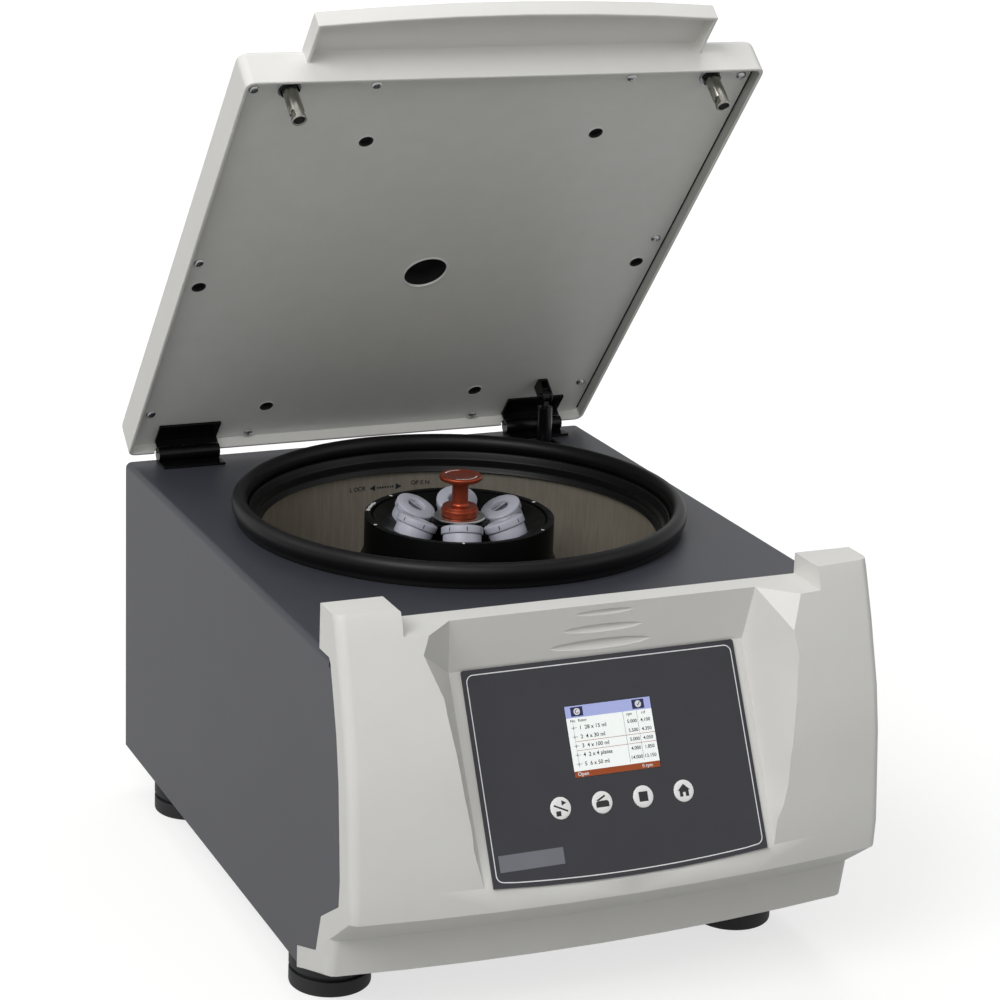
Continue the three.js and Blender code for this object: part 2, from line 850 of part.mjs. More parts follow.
// Base plate: a tray with turned-up edges that fit inside the cover.
const base_half = half_width - sheet - fit_gap;
const base_front = tab_reach + fit_gap;
const base_rear = housing_depth - rear_sheet - fit_gap;
const base_top = housing_bottom + base_sheet;
let base = block([-base_half, base_front, housing_bottom], [base_half, base_rear, base_top + base_lip]);
base = base.subtract(block(
  [-base_half + sheet, base_front + sheet, base_top],
  [base_half - sheet, base_rear - sheet, base_top + overrun],
));
model.add(piece('base_plate', base, zinc));

// Feet: rubber discs with a groove, and a neck up to the base.
const foot_outline = [
  [0, 0],
  [foot_radius - foot_bevel, 0],
  [foot_radius, foot_bevel],
  [foot_radius, foot_disc_height],
  [foot_radius - foot_groove_depth, foot_disc_height],
  [foot_radius - foot_groove_depth, foot_disc_height + foot_groove],
  [foot_radius, foot_disc_height + foot_groove],
  [foot_radius, foot_disc_height * 2 + foot_groove - foot_bevel],
  [foot_radius - foot_bevel, foot_disc_height * 2 + foot_groove],
  [foot_neck_radius, foot_disc_height * 2 + foot_groove],
  [foot_neck_radius, housing_bottom - fit_gap],
  [0, housing_bottom - fit_gap],
];
for (const [name, x, y] of [
  ['foot_front_left', -foot_x, foot_front_y],
  ['foot_front_right', foot_x, foot_front_y],
  ['foot_rear_left', -foot_x, foot_rear_y],
  ['foot_rear_right', foot_x, foot_rear_y],
]) {
  const foot = piece(name, turned(foot_outline, round_segments), rubber);
  foot.position.set(x, y, 0);
  model.add(foot);
}

// Bowl: a spun stainless pan with a flange under the housing's top.
const bowl_floor_z = top_z - bowl_depth;
const bowl_outline = [
  [bowl_radius + bowl_flange, under_top - fit_gap],
  [bowl_radius + bowl_flange, under_top - fit_gap - bowl_wall],
  [bowl_radius + bowl_wall, under_top - fit_gap - bowl_wall],
  [bowl_radius + bowl_wall, bowl_floor_z + bowl_corner - bowl_wall],
  [bowl_radius + bowl_wall - bowl_corner, bowl_floor_z - bowl_wall],
  [boot_hole_radius, bowl_floor_z - bowl_wall],
  [boot_hole_radius, bowl_floor_z],
  [bowl_radius - bowl_corner, bowl_floor_z],
  [bowl_radius, bowl_floor_z + bowl_corner],
  [bowl_radius, under_top - fit_gap],
];
const bowl = piece('bowl', turned(bowl_outline, wide_segments), stainless);
bowl.position.set(0, bowl_y, 0);
model.add(bowl);

// Seal: a round rubber bulb on a lip, with a skirt down inside the mouth of the bowl.
const bulb_radius = seal_outer - seal_bulb_half_width;
const bulb_z = top_z + fit_gap + seal_lip + seal_bulb_half_height;
const seal_outline = [
  [seal_skirt_inner, top_z - seal_skirt_depth],
  [seal_skirt_outer, top_z - seal_skirt_depth],
  [seal_skirt_outer, top_z + fit_gap],
  [bowl_radius + seal_lip_reach, top_z + fit_gap],
  [bowl_radius + seal_lip_reach, top_z + fit_gap + seal_lip_edge],
];
const bulb_steps = 6;
const bulb_start = THREE.MathUtils.degToRad(-54);
const bulb_sweep = THREE.MathUtils.degToRad(288);
for (let i = 0; i <= bulb_steps; i += 1) {
  const angle = bulb_start + bulb_sweep * i / bulb_steps;
  seal_outline.push([
    bulb_radius + seal_bulb_half_width * Math.cos(angle),
    bulb_z + seal_bulb_half_height * Math.sin(angle),
  ]);
}
seal_outline.push([bulb_radius - seal_bulb_half_width, top_z + seal_lip]);
seal_outline.push([seal_skirt_inner, top_z]);
const seal = piece('lid_gasket', turned(seal_outline, wide_segments), rubber);
seal.position.set(0, bowl_y, 0);
model.add(seal);

// Boot: a rubber collar in the bowl's floor, round the motor's shaft.
const boot_inner = shaft_shoulder_radius + boot_clearance;
const boot_outline = [
  [boot_hole_radius - fit_gap, bowl_floor_z - bowl_wall - boot_wall],
  [boot_hole_radius + boot_ridge, bowl_floor_z - bowl_wall - boot_wall],
  [boot_hole_radius + boot_ridge, bowl_floor_z - bowl_wall - fit_gap],
  [boot_hole_radius - fit_gap, bowl_floor_z - bowl_wall - fit_gap],
  [boot_hole_radius - fit_gap, bowl_floor_z + fit_gap],
  [boot_hole_radius + boot_ridge, bowl_floor_z + fit_gap],
  [boot_hole_radius + boot_ridge, bowl_floor_z + fit_gap + boot_wall],
  [boot_hole_radius - boot_ridge, bowl_floor_z + fit_gap + boot_crown],
  [boot_inner, bowl_floor_z + fit_gap + boot_crown],
  [boot_inner, bowl_floor_z + fit_gap],
  [boot_hole_radius - boot_ridge, bowl_floor_z - fit_gap],
];
const boot = piece('shaft_boot', turned(boot_outline, small_segments), rubber);
boot.position.set(0, bowl_y, 0);
model.add(boot);

// Motor on a plate, which four rubber mounts carry above the base.
const mount_low = base_top + fit_gap;
const plate_low = mount_low + mount_height + fit_gap;
const plate_high = plate_low + motor_plate_sheet;
const motor_low = plate_high + fit_gap;
const motor_high = bowl_floor_z - bowl_wall - motor_clearance - motor_end_height - fit_gap;
const mount_outline = [
  [0, mount_low],
  [mount_radius, mount_low],
  [mount_radius - mount_waist, mount_low + mount_height / 2],
  [mount_radius, mount_low + mount_height],
  [0, mount_low + mount_height],
];
const mount_reach = motor_plate_size / 2 - mount_inset;
[[-1, -1], [1, -1], [1, 1], [-1, 1]].forEach(([sx, sy], k) => {
  const mount = piece(`motor_mount_${k + 1}`, turned(mount_outline, small_segments), rubber);
  mount.position.set(sx * mount_reach, bowl_y + sy * mount_reach, 0);
  model.add(mount);
});
const plate_half = motor_plate_size / 2;
const plate = block([-plate_half, -plate_half, plate_low], [plate_half, plate_half, plate_high]);
const motor_plate = piece('motor_plate', plate, zinc);
motor_plate.position.set(0, bowl_y, 0);
model.add(motor_plate);

const journal_top = motor_low + motor_wall + motor_journal;
const motor_bore = motor_radius - motor_wall;
let motor_body = turned([
  [0, motor_low],
  [motor_radius, motor_low],
  [motor_radius, motor_high],
  [motor_bore, motor_high],
  [motor_bore, journal_top],
  [shaft_radius + running_gap, journal_top],
  [shaft_radius + running_gap, motor_low + motor_wall],
  [0, motor_low + motor_wall],
], round_segments);
for (let k = 0; k < motor_fin_count; k += 1) {
  const fin = block(
    [motor_radius - motor_wall / 2, -motor_fin_width / 2, motor_low + motor_wall],
    [motor_radius + motor_fin_depth, motor_fin_width / 2, motor_high - motor_wall],
  );
  motor_body = motor_body.add(fin.rotate([0, 0, 360 * (k + 0.5) / motor_fin_count]));
}
const motor_housing = piece('motor_housing', motor_body, motor_cast);
motor_housing.position.set(0, bowl_y, 0);
model.add(motor_housing);

const end_low = motor_high + fit_gap;
const motor_end = piece('motor_end_cover', turned([
  [shaft_radius + running_gap, end_low],
  [motor_radius, end_low],
  [motor_radius, end_low + motor_end_height - motor_end_edge],
  [motor_radius - motor_end_edge, end_low + motor_end_height],
  [motor_boss_radius, end_low + motor_end_height],
  [motor_boss_radius - motor_end_edge / 2, end_low + motor_end_height + motor_boss_height],
  [shaft_radius + running_gap, end_low + motor_end_height + motor_boss_height],
], round_segments), motor_cast);
motor_end.position.set(0, bowl_y, 0);
model.add(motor_end);

// Shaft with the motor's armature on it, and the shoulder that carries the rotor.
const rotor_bottom = axis_z(-rotor_depth);
const shoulder_z = rotor_bottom + rotor_hub_recess;
const shaft_top = axis_z(shaft_top_z);
const chamber = motor_high - journal_top;
const armature_low = journal_top + armature_low_share * chamber;
const armature_high = journal_top + armature_high_share * chamber;
const boss_top = end_low + motor_end_height + motor_boss_height;
const shaft = piece('motor_shaft', turned([
  [0, motor_low + motor_wall + fit_gap],
  [shaft_radius, motor_low + motor_wall + fit_gap],
  [shaft_radius, armature_low],
  [armature_radius, armature_low],
  [armature_radius, armature_high],
  [shaft_radius, armature_high],
  [shaft_radius, boss_top + motor_wall],
  [shaft_shoulder_radius, boss_top + shaft_collar_step],
  [shaft_shoulder_radius, shoulder_z],
  [shaft_radius, shoulder_z],
  [shaft_radius, shaft_top],
  [knob_stud_radius + fit_gap, shaft_top],
  [knob_stud_radius + fit_gap, shaft_top - knob_stud_length - motor_wall],
  [0, shaft_top - knob_stud_length - motor_wall],
], round_segments), bright_steel);
shaft.position.set(0, bowl_y, 0);
model.add(shaft);

// Angle rotor: a dished rim, a drum that flares to the bottom, and a ring of tilted bores.
const dish_on_axis = cap_flange_height / 2 + cap_skirt_height + fit_gap;
const dish_r = tube_ring_radius + dish_on_axis * sin_tilt;
const dish_z = axis_z(cap_flange_z) - dish_on_axis * cos_tilt;
const dish_at = (r) => dish_z + (r - dish_r) * Math.tan(tube_tilt);
const rim_z = axis_z(rotor_rim_z);
const rim_inner = rotor_rim_radius - rotor_rim_width;
const hub_radius = washer_radius + rotor_rim_step;
const hub_z = axis_z(washer_top_z - washer_height) - fit_gap;
let rotor_body = turned([
  [shaft_radius + fit_gap, shoulder_z + fit_gap],
  [shaft_shoulder_radius + rotor_wall, shoulder_z + fit_gap],
  [shaft_shoulder_radius + rotor_wall, rotor_bottom + rotor_band],
  [rotor_flare_radius - rotor_wall - rotor_band, rotor_bottom],
  [rotor_flare_radius, rotor_bottom],
  [rotor_flare_radius, rotor_bottom + rotor_band],
  [rotor_rim_radius, axis_z(-rotor_flare_drop)],
  [rotor_rim_radius, rim_z - rotor_rim_step],
  [rotor_rim_radius - rotor_rim_step, rim_z],
  [rim_inner + rotor_rim_step, rim_z],
  [rim_inner, rim_z - rotor_rim_step * 2],
  [rim_inner - rotor_rim_step, dish_at(rim_inner - rotor_rim_step)],
  [hub_radius + rotor_rim_step, dish_at(hub_radius + rotor_rim_step)],
  [hub_radius, hub_z - rotor_rim_step],
  [hub_radius - rotor_rim_step, hub_z],
  [shaft_radius + fit_gap, hub_z],
], rotor_segments);

// A bore's own frame: its origin is the middle of the cap's flange, its Z runs out of the tube.
function bore_matrix(k) {
  const angle = first_tube_angle + k * 2 * Math.PI / tube_count;
  const matrix = new THREE.Matrix4().makeRotationZ(angle);
  matrix.multiply(new THREE.Matrix4().makeTranslation(tube_ring_radius, 0, axis_z(cap_flange_z)));
  return matrix.multiply(new THREE.Matrix4().makeRotationY(-tube_tilt));
}

const tube_top = -cap_flange_height / 2 + cap_wall;
const tube_low = tube_top - tube_length;
const bore_radius = tube_radius + tube_clearance;
const cap_low = -cap_flange_height / 2 - cap_skirt_height;
const cap_seat = cap_low - fit_gap;
const bore_outline = [
  [0, tube_low - tube_clearance],
  [tube_tip_radius, tube_low - tube_clearance],
  [bore_radius, tube_low + tube_cone_length - tube_clearance],
  [bore_radius, cap_seat],
  [cap_skirt_radius + fit_gap, cap_seat],
  [cap_skirt_radius + fit_gap, overrun],
  [0, overrun],
];
for (let k = 0; k < tube_count; k += 1) {
  const bore = turned(bore_outline, tube_segments);
  rotor_body = rotor_body.subtract(bore.transform(bore_matrix(k).elements));
}
const rotor = piece('rotor', rotor_body, black_anodised);
rotor.position.set(0, bowl_y, 0);
model.add(rotor);

const washer_top = axis_z(washer_top_z);
const washer = piece('rotor_washer', turned([
  [shaft_radius + fit_gap, washer_top - washer_height],
  [washer_radius - washer_bevel * 2, washer_top - washer_height],
  [washer_radius, washer_top - washer_height / 2],
  [washer_radius, washer_top - washer_bevel],
  [washer_radius - washer_bevel, washer_top],
  [shaft_radius + fit_gap, washer_top],
], round_segments), bright_steel);
washer.position.set(0, bowl_y, 0);
model.add(washer);

// Knob: a threaded stud, a collar, a slim stem and a round top.
const knob_low = washer_top + fit_gap;
const knob_top = axis_z(knob_top_z);
const collar_top = axis_z(knob_collar_top_z);
const disc_low = knob_top - knob_disc_height;
const knob = piece('rotor_knob', turned([
  [0, shaft_top - knob_stud_length],
  [knob_stud_radius, shaft_top - knob_stud_length],
  [knob_stud_radius, knob_low],
  [knob_collar_radius, knob_low],
  [knob_collar_radius, collar_top - knob_collar_step],
  [knob_collar_radius - knob_bevel, collar_top - knob_collar_step],
  [knob_collar_radius - knob_bevel, collar_top],
  [knob_stem_radius + knob_fillet, collar_top],
  [knob_stem_radius, collar_top + knob_fillet],
  [knob_stem_radius, disc_low - knob_fillet],
  [knob_stem_radius + knob_fillet, disc_low],
  [knob_disc_radius, disc_low + knob_bevel],
  [knob_disc_radius, knob_top - knob_bevel],
  [knob_disc_radius - knob_bevel, knob_top],
  [0, knob_top],
], fine_segments), bronze_anodised);
knob.position.set(0, bowl_y, 0);
model.add(knob);

// Tubes with their screw caps, all tilted with their bores.
const tube_outline = [
  [0, tube_low],
  [tube_tip_radius, tube_low],
  [tube_radius, tube_low + tube_cone_length],
  [tube_radius, tube_top],
  [tube_radius - tube_wall, tube_top],
  [tube_radius - tube_wall, tube_low + tube_cone_length + tube_wall],
  [tube_tip_radius, tube_low + tube_floor],
  [0, tube_low + tube_floor],
];
const cap_high = cap_flange_height / 2 + cap_hub_height;
let cap_body = turned([
  [tube_radius + tube_clearance, cap_low],
  [cap_skirt_radius, cap_low],
  [cap_skirt_radius, -cap_flange_height / 2],
  [cap_flange_radius, -cap_flange_height / 2],
  [cap_flange_radius, cap_flange_height / 2],
  [cap_hub_radius, cap_flange_height / 2],
  [cap_hub_radius - cap_edge, cap_high],
  [cap_recess_radius, cap_high],
  [cap_recess_radius - cap_edge, cap_high - cap_recess_depth],
  [0, cap_high - cap_recess_depth],
  [0, tube_top + fit_gap],
  [tube_radius + tube_clearance, tube_top + fit_gap],
], tube_segments);
cap_body = cap_body.add(block(
  [-cap_recess_radius, -cap_grip_width / 2, cap_high - cap_recess_depth - cap_edge],
  [cap_recess_radius, cap_grip_width / 2, cap_high - cap_edge],
));
for (let k = 0; k < tube_count; k += 1) {
  const frame = bore_matrix(k);
  const holder = new THREE.Group();
  holder.applyMatrix4(frame);
  holder.add(piece(`tube_${k + 1}`, turned(tube_outline, tube_segments), tube_plastic));
  holder.add(piece(`tube_cap_${k + 1}`, cap_body, cap_plastic));
  const ring = new THREE.Group();
  ring.position.set(0, bowl_y, 0);
  ring.add(holder);
  model.add(ring);
}

// Latches under the housing's top: a block with a hole for the pin, and a sliding bolt.
const block_top = under_top - fit_gap;
const lid_rim_z = top_z + lid_gap;
const liner_low = lid_rim_z + liner_recess;
const pin_tip_z = liner_low - fit_gap - pin_length;
const neck_low = pin_tip_z + pin_tip_height;
const bolt_low = neck_low + (pin_neck_height - bolt_height) / 2;
for (const [side, name] of [[-1, 'left'], [1, 'right']]) {
  let body = block(
    [-latch_block_x / 2, -latch_block_y / 2, block_top - latch_block_z],
    [latch_block_x / 2, latch_block_y / 2, block_top],
  );
  const block_low = block_top - latch_block_z;
  body = body.subtract(bar(latch_hole_radius, block_low - overrun, block_top + overrun));
  body = body.subtract(block(
    [0, -bolt_width / 2 - fit_gap, bolt_low - fit_gap],
    [latch_block_x, bolt_width / 2 + fit_gap, bolt_low + bolt_height + fit_gap],
  ));
  const bolt_tip = pin_neck_radius + bolt_clearance + bolt_travel;
  const bolt_end = bolt_tip + bolt_length;
  let bolt = block(
    [bolt_tip, -bolt_width / 2, bolt_low],
    [bolt_end, bolt_width / 2, bolt_low + bolt_height],
  );
  bolt = bolt.add(block(
    [bolt_end - bolt_tail, -bolt_width / 2, bolt_low - bolt_tail],
    [bolt_end, bolt_width / 2, bolt_low + bolt_height],
  ));
  const latch = new THREE.Group();
  latch.position.set(side * latch_x, latch_y, 0);
  latch.rotation.z = side > 0 ? Math.PI : 0;
  latch.add(piece(`latch_body_${name}`, body, zinc));
  latch.add(piece(`latch_bolt_${name}`, bolt, bright_steel));
  model.add(latch);
}

// Rear panel with louvres and the cut-out of the mains inlet.
const rear_low = housing_bottom + fit_gap;
let rear = drawn_y(cover_section(sheet + fit_gap, rear_low), housing_depth - rear_sheet, housing_depth);
for (let column = 0; column < louvre_columns; column += 1) {
  for (let row = 0; row < louvre_rows; row += 1) {
    const x = (column - (louvre_columns - 1) / 2) * louvre_pitch_x;
    const z = louvre_centre_z + (row - (louvre_rows - 1) / 2) * louvre_pitch_z;
    rear = rear.subtract(block(
      [x - louvre_width / 2, housing_depth - overrun, z - louvre_height / 2],
      [x + louvre_width / 2, housing_depth + overrun, z + louvre_height / 2],
    ));
  }
}
const inlet_half_w = inlet_width / 2;
const inlet_half_h = inlet_height / 2;
rear = rear.subtract(block(
  [inlet_x - inlet_half_w - fit_gap, housing_depth - overrun, inlet_z - inlet_half_h - fit_gap],
  [inlet_x + inlet_half_w + fit_gap, housing_depth + overrun, inlet_z + inlet_half_h + fit_gap],
));
model.add(piece('rear_panel', rear, anthracite));

// Mains inlet with the power switch above its socket, in one moulded frame.
const inlet_face = housing_depth + fit_gap + inlet_flange_sheet;
let inlet = block(
  [-inlet_half_w, housing_depth - inlet_depth, -inlet_half_h],
  [inlet_half_w, housing_depth + fit_gap, inlet_half_h],
);
inlet = inlet.add(block(
  [-inlet_half_w - inlet_flange, housing_depth + fit_gap, -inlet_half_h - inlet_flange],
  [inlet_half_w + inlet_flange, inlet_face, inlet_half_h + inlet_flange],
));
const socket_z = -inlet_split;
inlet = inlet.subtract(block(
  [-inlet_socket_width / 2, inlet_face - inlet_socket_depth, socket_z - inlet_socket_height / 2],
  [inlet_socket_width / 2, inlet_face + overrun, socket_z + inlet_socket_height / 2],
));
const socket_back = inlet_face - inlet_socket_depth;
for (const blade of [-1, 0, 1]) {
  const x = blade * inlet_blade_gap;
  const z = socket_z + (blade === 0 ? inlet_blade_drop : -inlet_blade_drop);
  inlet = inlet.add(block(
    [x - inlet_blade_sheet / 2, socket_back - fit_gap, z - inlet_blade_width / 2],
    [x + inlet_blade_sheet / 2, socket_back + inlet_blade_length, z + inlet_blade_width / 2],
  ));
}
const rocker_z = inlet_split;
const pocket_w = rocker_width / 2 + rocker_clearance;
const pocket_h = rocker_height / 2 + rocker_clearance;
inlet = inlet.subtract(block(
  [-pocket_w, inlet_face - rocker_pocket_depth, rocker_z - pocket_h],
  [pocket_w, inlet_face + overrun, rocker_z + pocket_h],
));
const inlet_piece = piece('mains_inlet', inlet, black_plastic);
inlet_piece.position.set(inlet_x, 0, inlet_z);
model.add(inlet_piece);

const rocker_half = rocker_height / 2 - rocker_clearance;
const rocker = piece('mains_rocker', drawn_x([
  [-rocker_depth, -rocker_half / 2],
  [-rocker_depth, rocker_half / 2],
  [0, rocker_half],
  [-rocker_dip, 0],
  [0, -rocker_half],
], -rocker_width / 2, rocker_width / 2), black_plastic);
rocker.position.set(inlet_x, inlet_face, inlet_z + rocker_z);
rocker.rotation.x = rocker_tilt;
model.add(rocker);

// Hinges: a leaf on the housing that holds the pressed-in pin, and a leaf on the lid's liner.
const knuckle_length = hinge_length / knuckle_count;

// Every other knuckle of a hinge, from the first one named, made wider and longer by a margin.
function knuckles(first, radius, margin) {
  const bars = [];
  for (let k = first; k < knuckle_count; k += 2) {
    const low = -hinge_length / 2 + k * knuckle_length - margin;
    bars.push(bar_x(radius, low, low + knuckle_length + 2 * margin, 0, 0));
  }
  return wasm.Manifold.union(bars);
}

function knuckle_room(first) {
  return knuckles(first, knuckle_radius + fit_gap, fit_gap / 2);
}

const leaf_low = top_z + fit_gap - hinge_z;
const leaf_end = -knuckle_radius - leaf_depth;
const pivot_hole = bar_x(hinge_pin_radius + fit_gap, -hinge_length, hinge_length, 0, 0);

for (const [side, name] of [[-1, 'left'], [1, 'right']]) {
  let leaf = block(
    [-hinge_length / 2, leaf_end, leaf_low],
    [hinge_length / 2, leaf_tail, leaf_low + leaf_sheet],
  );
  leaf = leaf.subtract(knuckle_room(1)).add(knuckles(0, knuckle_radius, -fit_gap / 2));
  leaf = leaf.add(bar_x(hinge_pin_radius, -hinge_length / 2, hinge_length / 2, 0, 0));
  const housing_leaf = piece(`hinge_leaf_${name}`, leaf, black_steel);
  housing_leaf.position.set(side * hinge_x, hinge_y, hinge_z);
  model.add(housing_leaf);
}

// Lid: everything on it is built shut, in a group whose origin is the hinge axis, and opened.
const lid = new THREE.Group();
lid.position.set(0, hinge_y, hinge_z);
lid.rotation.x = -lid_open;
model.add(lid);
const rim = lid_rim_z - hinge_z;
const lid_rear = lid_rear_y - hinge_y;
const lid_front = lid_rear - lid_length;
const lid_top = rim + lid_height;
const at_u = (u) => lid_rear - u;

function lid_ring(inset, z, corner) {
  const half = lid_width / 2 - inset;
  const outline = round_rectangle(-half, lid_front + inset, half, lid_rear - inset, corner);
  return outline.map(([x, y]) => [x, y, z]);
}

const edge_steps = 3;
const shell_rings = [lid_ring(0, rim, lid_corner_radius)];
for (let i = 0; i <= edge_steps; i += 1) {
  const angle = i / edge_steps * Math.PI / 2;
  const inset = lid_edge_radius * (1 - Math.cos(angle));
  const level = lid_top - lid_edge_radius * (1 - Math.sin(angle));
  shell_rings.push(lid_ring(inset, level, lid_corner_radius));
}
const liner_high = rim + liner_recess + liner_sheet + fit_gap;
let shell = lofted(shell_rings, 0, 1);
shell = shell.subtract(lofted([
  lid_ring(lid_wall, rim - overrun, lid_inner_corner),
  lid_ring(lid_wall, liner_high, lid_inner_corner),
], 0, 1));
shell = shell.subtract(lofted([
  lid_ring(lid_wall + liner_shelf, liner_high - overrun, lid_inner_corner),
  lid_ring(lid_wall + liner_shelf, lid_top - lid_wall, lid_inner_corner),
], 0, 1));

// Handle: a lip along the front of the lid, open below for the fingers.
function handle_outline(inset) {
  const shape = new THREE.Shape();
  const half = half_width - handle_inset - inset;
  const out = lid_front - handle_reach + inset;
  const back = inset > 0 ? lid_front : lid_front + lid_wall / 2;
  shape.moveTo(-half, back);
  shape.lineTo(-half, out);
  shape.quadraticCurveTo(0, out - handle_bulge, half, out);
  shape.lineTo(half, back);
  return shape;
}

const handle_low = lid_top - handle_height;
const handle_solid = raised(handle_outline(0), handle_low, lid_top);
const handle_hollow = raised(
  handle_outline(handle_wall),
  handle_low - overrun,
  lid_top - handle_wall,
);
shell = shell.add(handle_solid).subtract(handle_hollow);

function hinge_room(x) {
  return block(
    [x - hinge_length / 2 - hinge_side_room, -knuckle_radius - running_gap, rim - overrun],
    [x + hinge_length / 2 + hinge_side_room, lid_rear + overrun, knuckle_radius + running_gap],
  );
}

for (const side of [-1, 1]) {
  shell = shell.subtract(hinge_room(side * hinge_x));
}
lid.add(piece('lid_shell', shell, pale_moulding));

// Liner: a steel sheet across the underside, with a round port over the knob and six holes.
const liner_inset = lid_wall + liner_margin;
const liner_z = rim + liner_recess;
const liner_corner = lid_inner_corner - liner_margin;
let liner = lofted([
  lid_ring(liner_inset, liner_z, liner_corner),
  lid_ring(liner_inset, liner_z + liner_sheet, liner_corner),
], 0, 1);
const port = bar(port_radius, -overrun, liner_z + overrun, fine_segments);
liner = liner.subtract(port.translate([0, at_u(port_u), 0]));
const plug_places = [
  [half_width - middle_plug_inset, rear_plug_inset],
  [half_width - side_plug_inset, lid_length * side_plug_share],
  [half_width - middle_plug_inset, lid_length - front_plug_inset],
];
for (const side of [-1, 1]) {
  for (const [x, u] of plug_places) {
    const plug_hole = bar(plug_hole_radius, -overrun, liner_z + overrun, small_segments);
    liner = liner.subtract(plug_hole.translate([side * x, at_u(u), 0]));
  }
  liner = liner.subtract(hinge_room(side * hinge_x));
}
lid.add(piece('lid_liner', liner, liner_grey));

const under_liner = liner_z - fit_gap;
const lock_pin_outline = [
  [0, under_liner - pin_length],
  [pin_radius - pin_bevel, under_liner - pin_length],
  [pin_radius, under_liner - pin_length + pin_bevel],
  [pin_radius, under_liner - pin_length + pin_tip_height],
  [pin_neck_radius, under_liner - pin_length + pin_tip_height],
  [pin_neck_radius, under_liner - pin_length + pin_tip_height + pin_neck_height],
  [pin_radius, under_liner - pin_length + pin_tip_height + pin_neck_height],
  [pin_radius, under_liner - pin_foot_height],
  [pin_foot_radius, under_liner - pin_foot_height],
  [pin_foot_radius, under_liner],
  [0, under_liner],
];
for (const [side, name] of [[-1, 'left'], [1, 'right']]) {
  const lock_pin = piece(`latch_pin_${name}`, turned(lock_pin_outline, round_segments), bright_steel);
  lock_pin.position.set(side * latch_x, at_u(latch_u), 0);
  lid.add(lock_pin);
}

for (const [side, name] of [[-1, 'left'], [1, 'right']]) {
  let leaf = block(
    [-hinge_length / 2, -knuckle_radius - lid_leaf_length, under_liner - leaf_sheet],
    [hinge_length / 2, -leaf_sheet, under_liner],
  );
  leaf = leaf.add(block(
    [-hinge_length / 2, -leaf_sheet * 2, 0],
    [hinge_length / 2, -leaf_sheet, under_liner],
  ));
  leaf = leaf.subtract(knuckle_room(0)).add(knuckles(1, knuckle_radius, -fit_gap / 2));
  leaf = leaf.subtract(pivot_hole);
  const lid_leaf = piece(`lid_leaf_${name}`, leaf, black_steel);
  lid_leaf.position.set(side * hinge_x, 0, 0);
  lid.add(lid_leaf);
}

// Gas strut: a cylinder on the lid's bracket, and a rod that runs down to a pin on the side wall.
const strut_eye_y = at_u(strut_u);
const strut_eye_z = rim - strut_drop;
const cheek_x = strut_eye_width / 2 + fit_gap;
let upper_bracket = block(
  [-cheek_x - strut_cheek_sheet, strut_eye_y - strut_cheek_radius, under_liner - strut_cheek_sheet],
  [cheek_x + strut_cheek_sheet, strut_eye_y + strut_cheek_radius, under_liner],
);
for (const side of [-1, 1]) {
  const low = side > 0 ? cheek_x : -cheek_x - strut_cheek_sheet;
  upper_bracket = upper_bracket.add(block(
    [low, strut_eye_y - strut_cheek_radius, strut_eye_z],
    [low + strut_cheek_sheet, strut_eye_y + strut_cheek_radius, under_liner - strut_cheek_sheet / 2],
  ));
  const high = low + strut_cheek_sheet;
  const cheek_end = bar_x(strut_cheek_radius, low, high, strut_eye_y, strut_eye_z);
  upper_bracket = upper_bracket.add(cheek_end);
}
const pin_reach = cheek_x + strut_cheek_sheet + strut_pin_end;
const strut_pin = bar_x(strut_pin_radius, -pin_reach, pin_reach, strut_eye_y, strut_eye_z);
upper_bracket = upper_bracket.add(strut_pin);
const strut_bracket = piece('strut_bracket', upper_bracket, black_steel);
strut_bracket.position.set(strut_x, 0, 0);
lid.add(strut_bracket);

// The strut hangs from the open lid's eye towards its foot.
lid.updateMatrixWorld(true);
const upper_eye = new THREE.Vector3(strut_x, strut_eye_y, strut_eye_z).applyMatrix4(lid.matrixWorld);
const lower_eye = new THREE.Vector3(strut_x, strut_foot_y, top_z - strut_foot_below_top);
const strut_span = upper_eye.distanceTo(lower_eye);
const strut = new THREE.Group();
strut.position.copy(upper_eye);
strut.rotation.x = -Math.atan2(upper_eye.y - lower_eye.y, upper_eye.z - lower_eye.z);
model.add(strut);

function eye(radius, hole) {
  const ring = bar_x(radius, -strut_eye_width / 2, strut_eye_width / 2, 0, 0);
  return ring.subtract(bar_x(hole, -strut_eye_width, strut_eye_width, 0, 0));
}

const cylinder_bore = strut_cylinder_radius - strut_cylinder_wall;
const cylinder_low = -strut_cylinder_start - strut_cylinder_length;
let cylinder = turned([
  [strut_rod_radius + fit_gap, cylinder_low],
  [strut_cylinder_radius, cylinder_low],
  [strut_cylinder_radius, -strut_cylinder_start],
  [0, -strut_cylinder_start],
  [0, -strut_cylinder_start - strut_cylinder_wall],
  [cylinder_bore, -strut_cylinder_start - strut_cylinder_wall],
  [cylinder_bore, cylinder_low + strut_gland_height],
  [strut_rod_radius + fit_gap, cylinder_low + strut_gland_height],
], round_segments);
const strut_hole = strut_pin_radius + strut_pin_slack;
cylinder = cylinder.add(block(
  [-strut_neck_half, -strut_neck_half, -strut_cylinder_start - fit_gap],
  [strut_neck_half, strut_neck_half, -strut_hole - fit_gap],
));
cylinder = cylinder.add(eye(strut_eye_radius, strut_hole));
strut.add(piece('strut_cylinder', cylinder, black_steel));

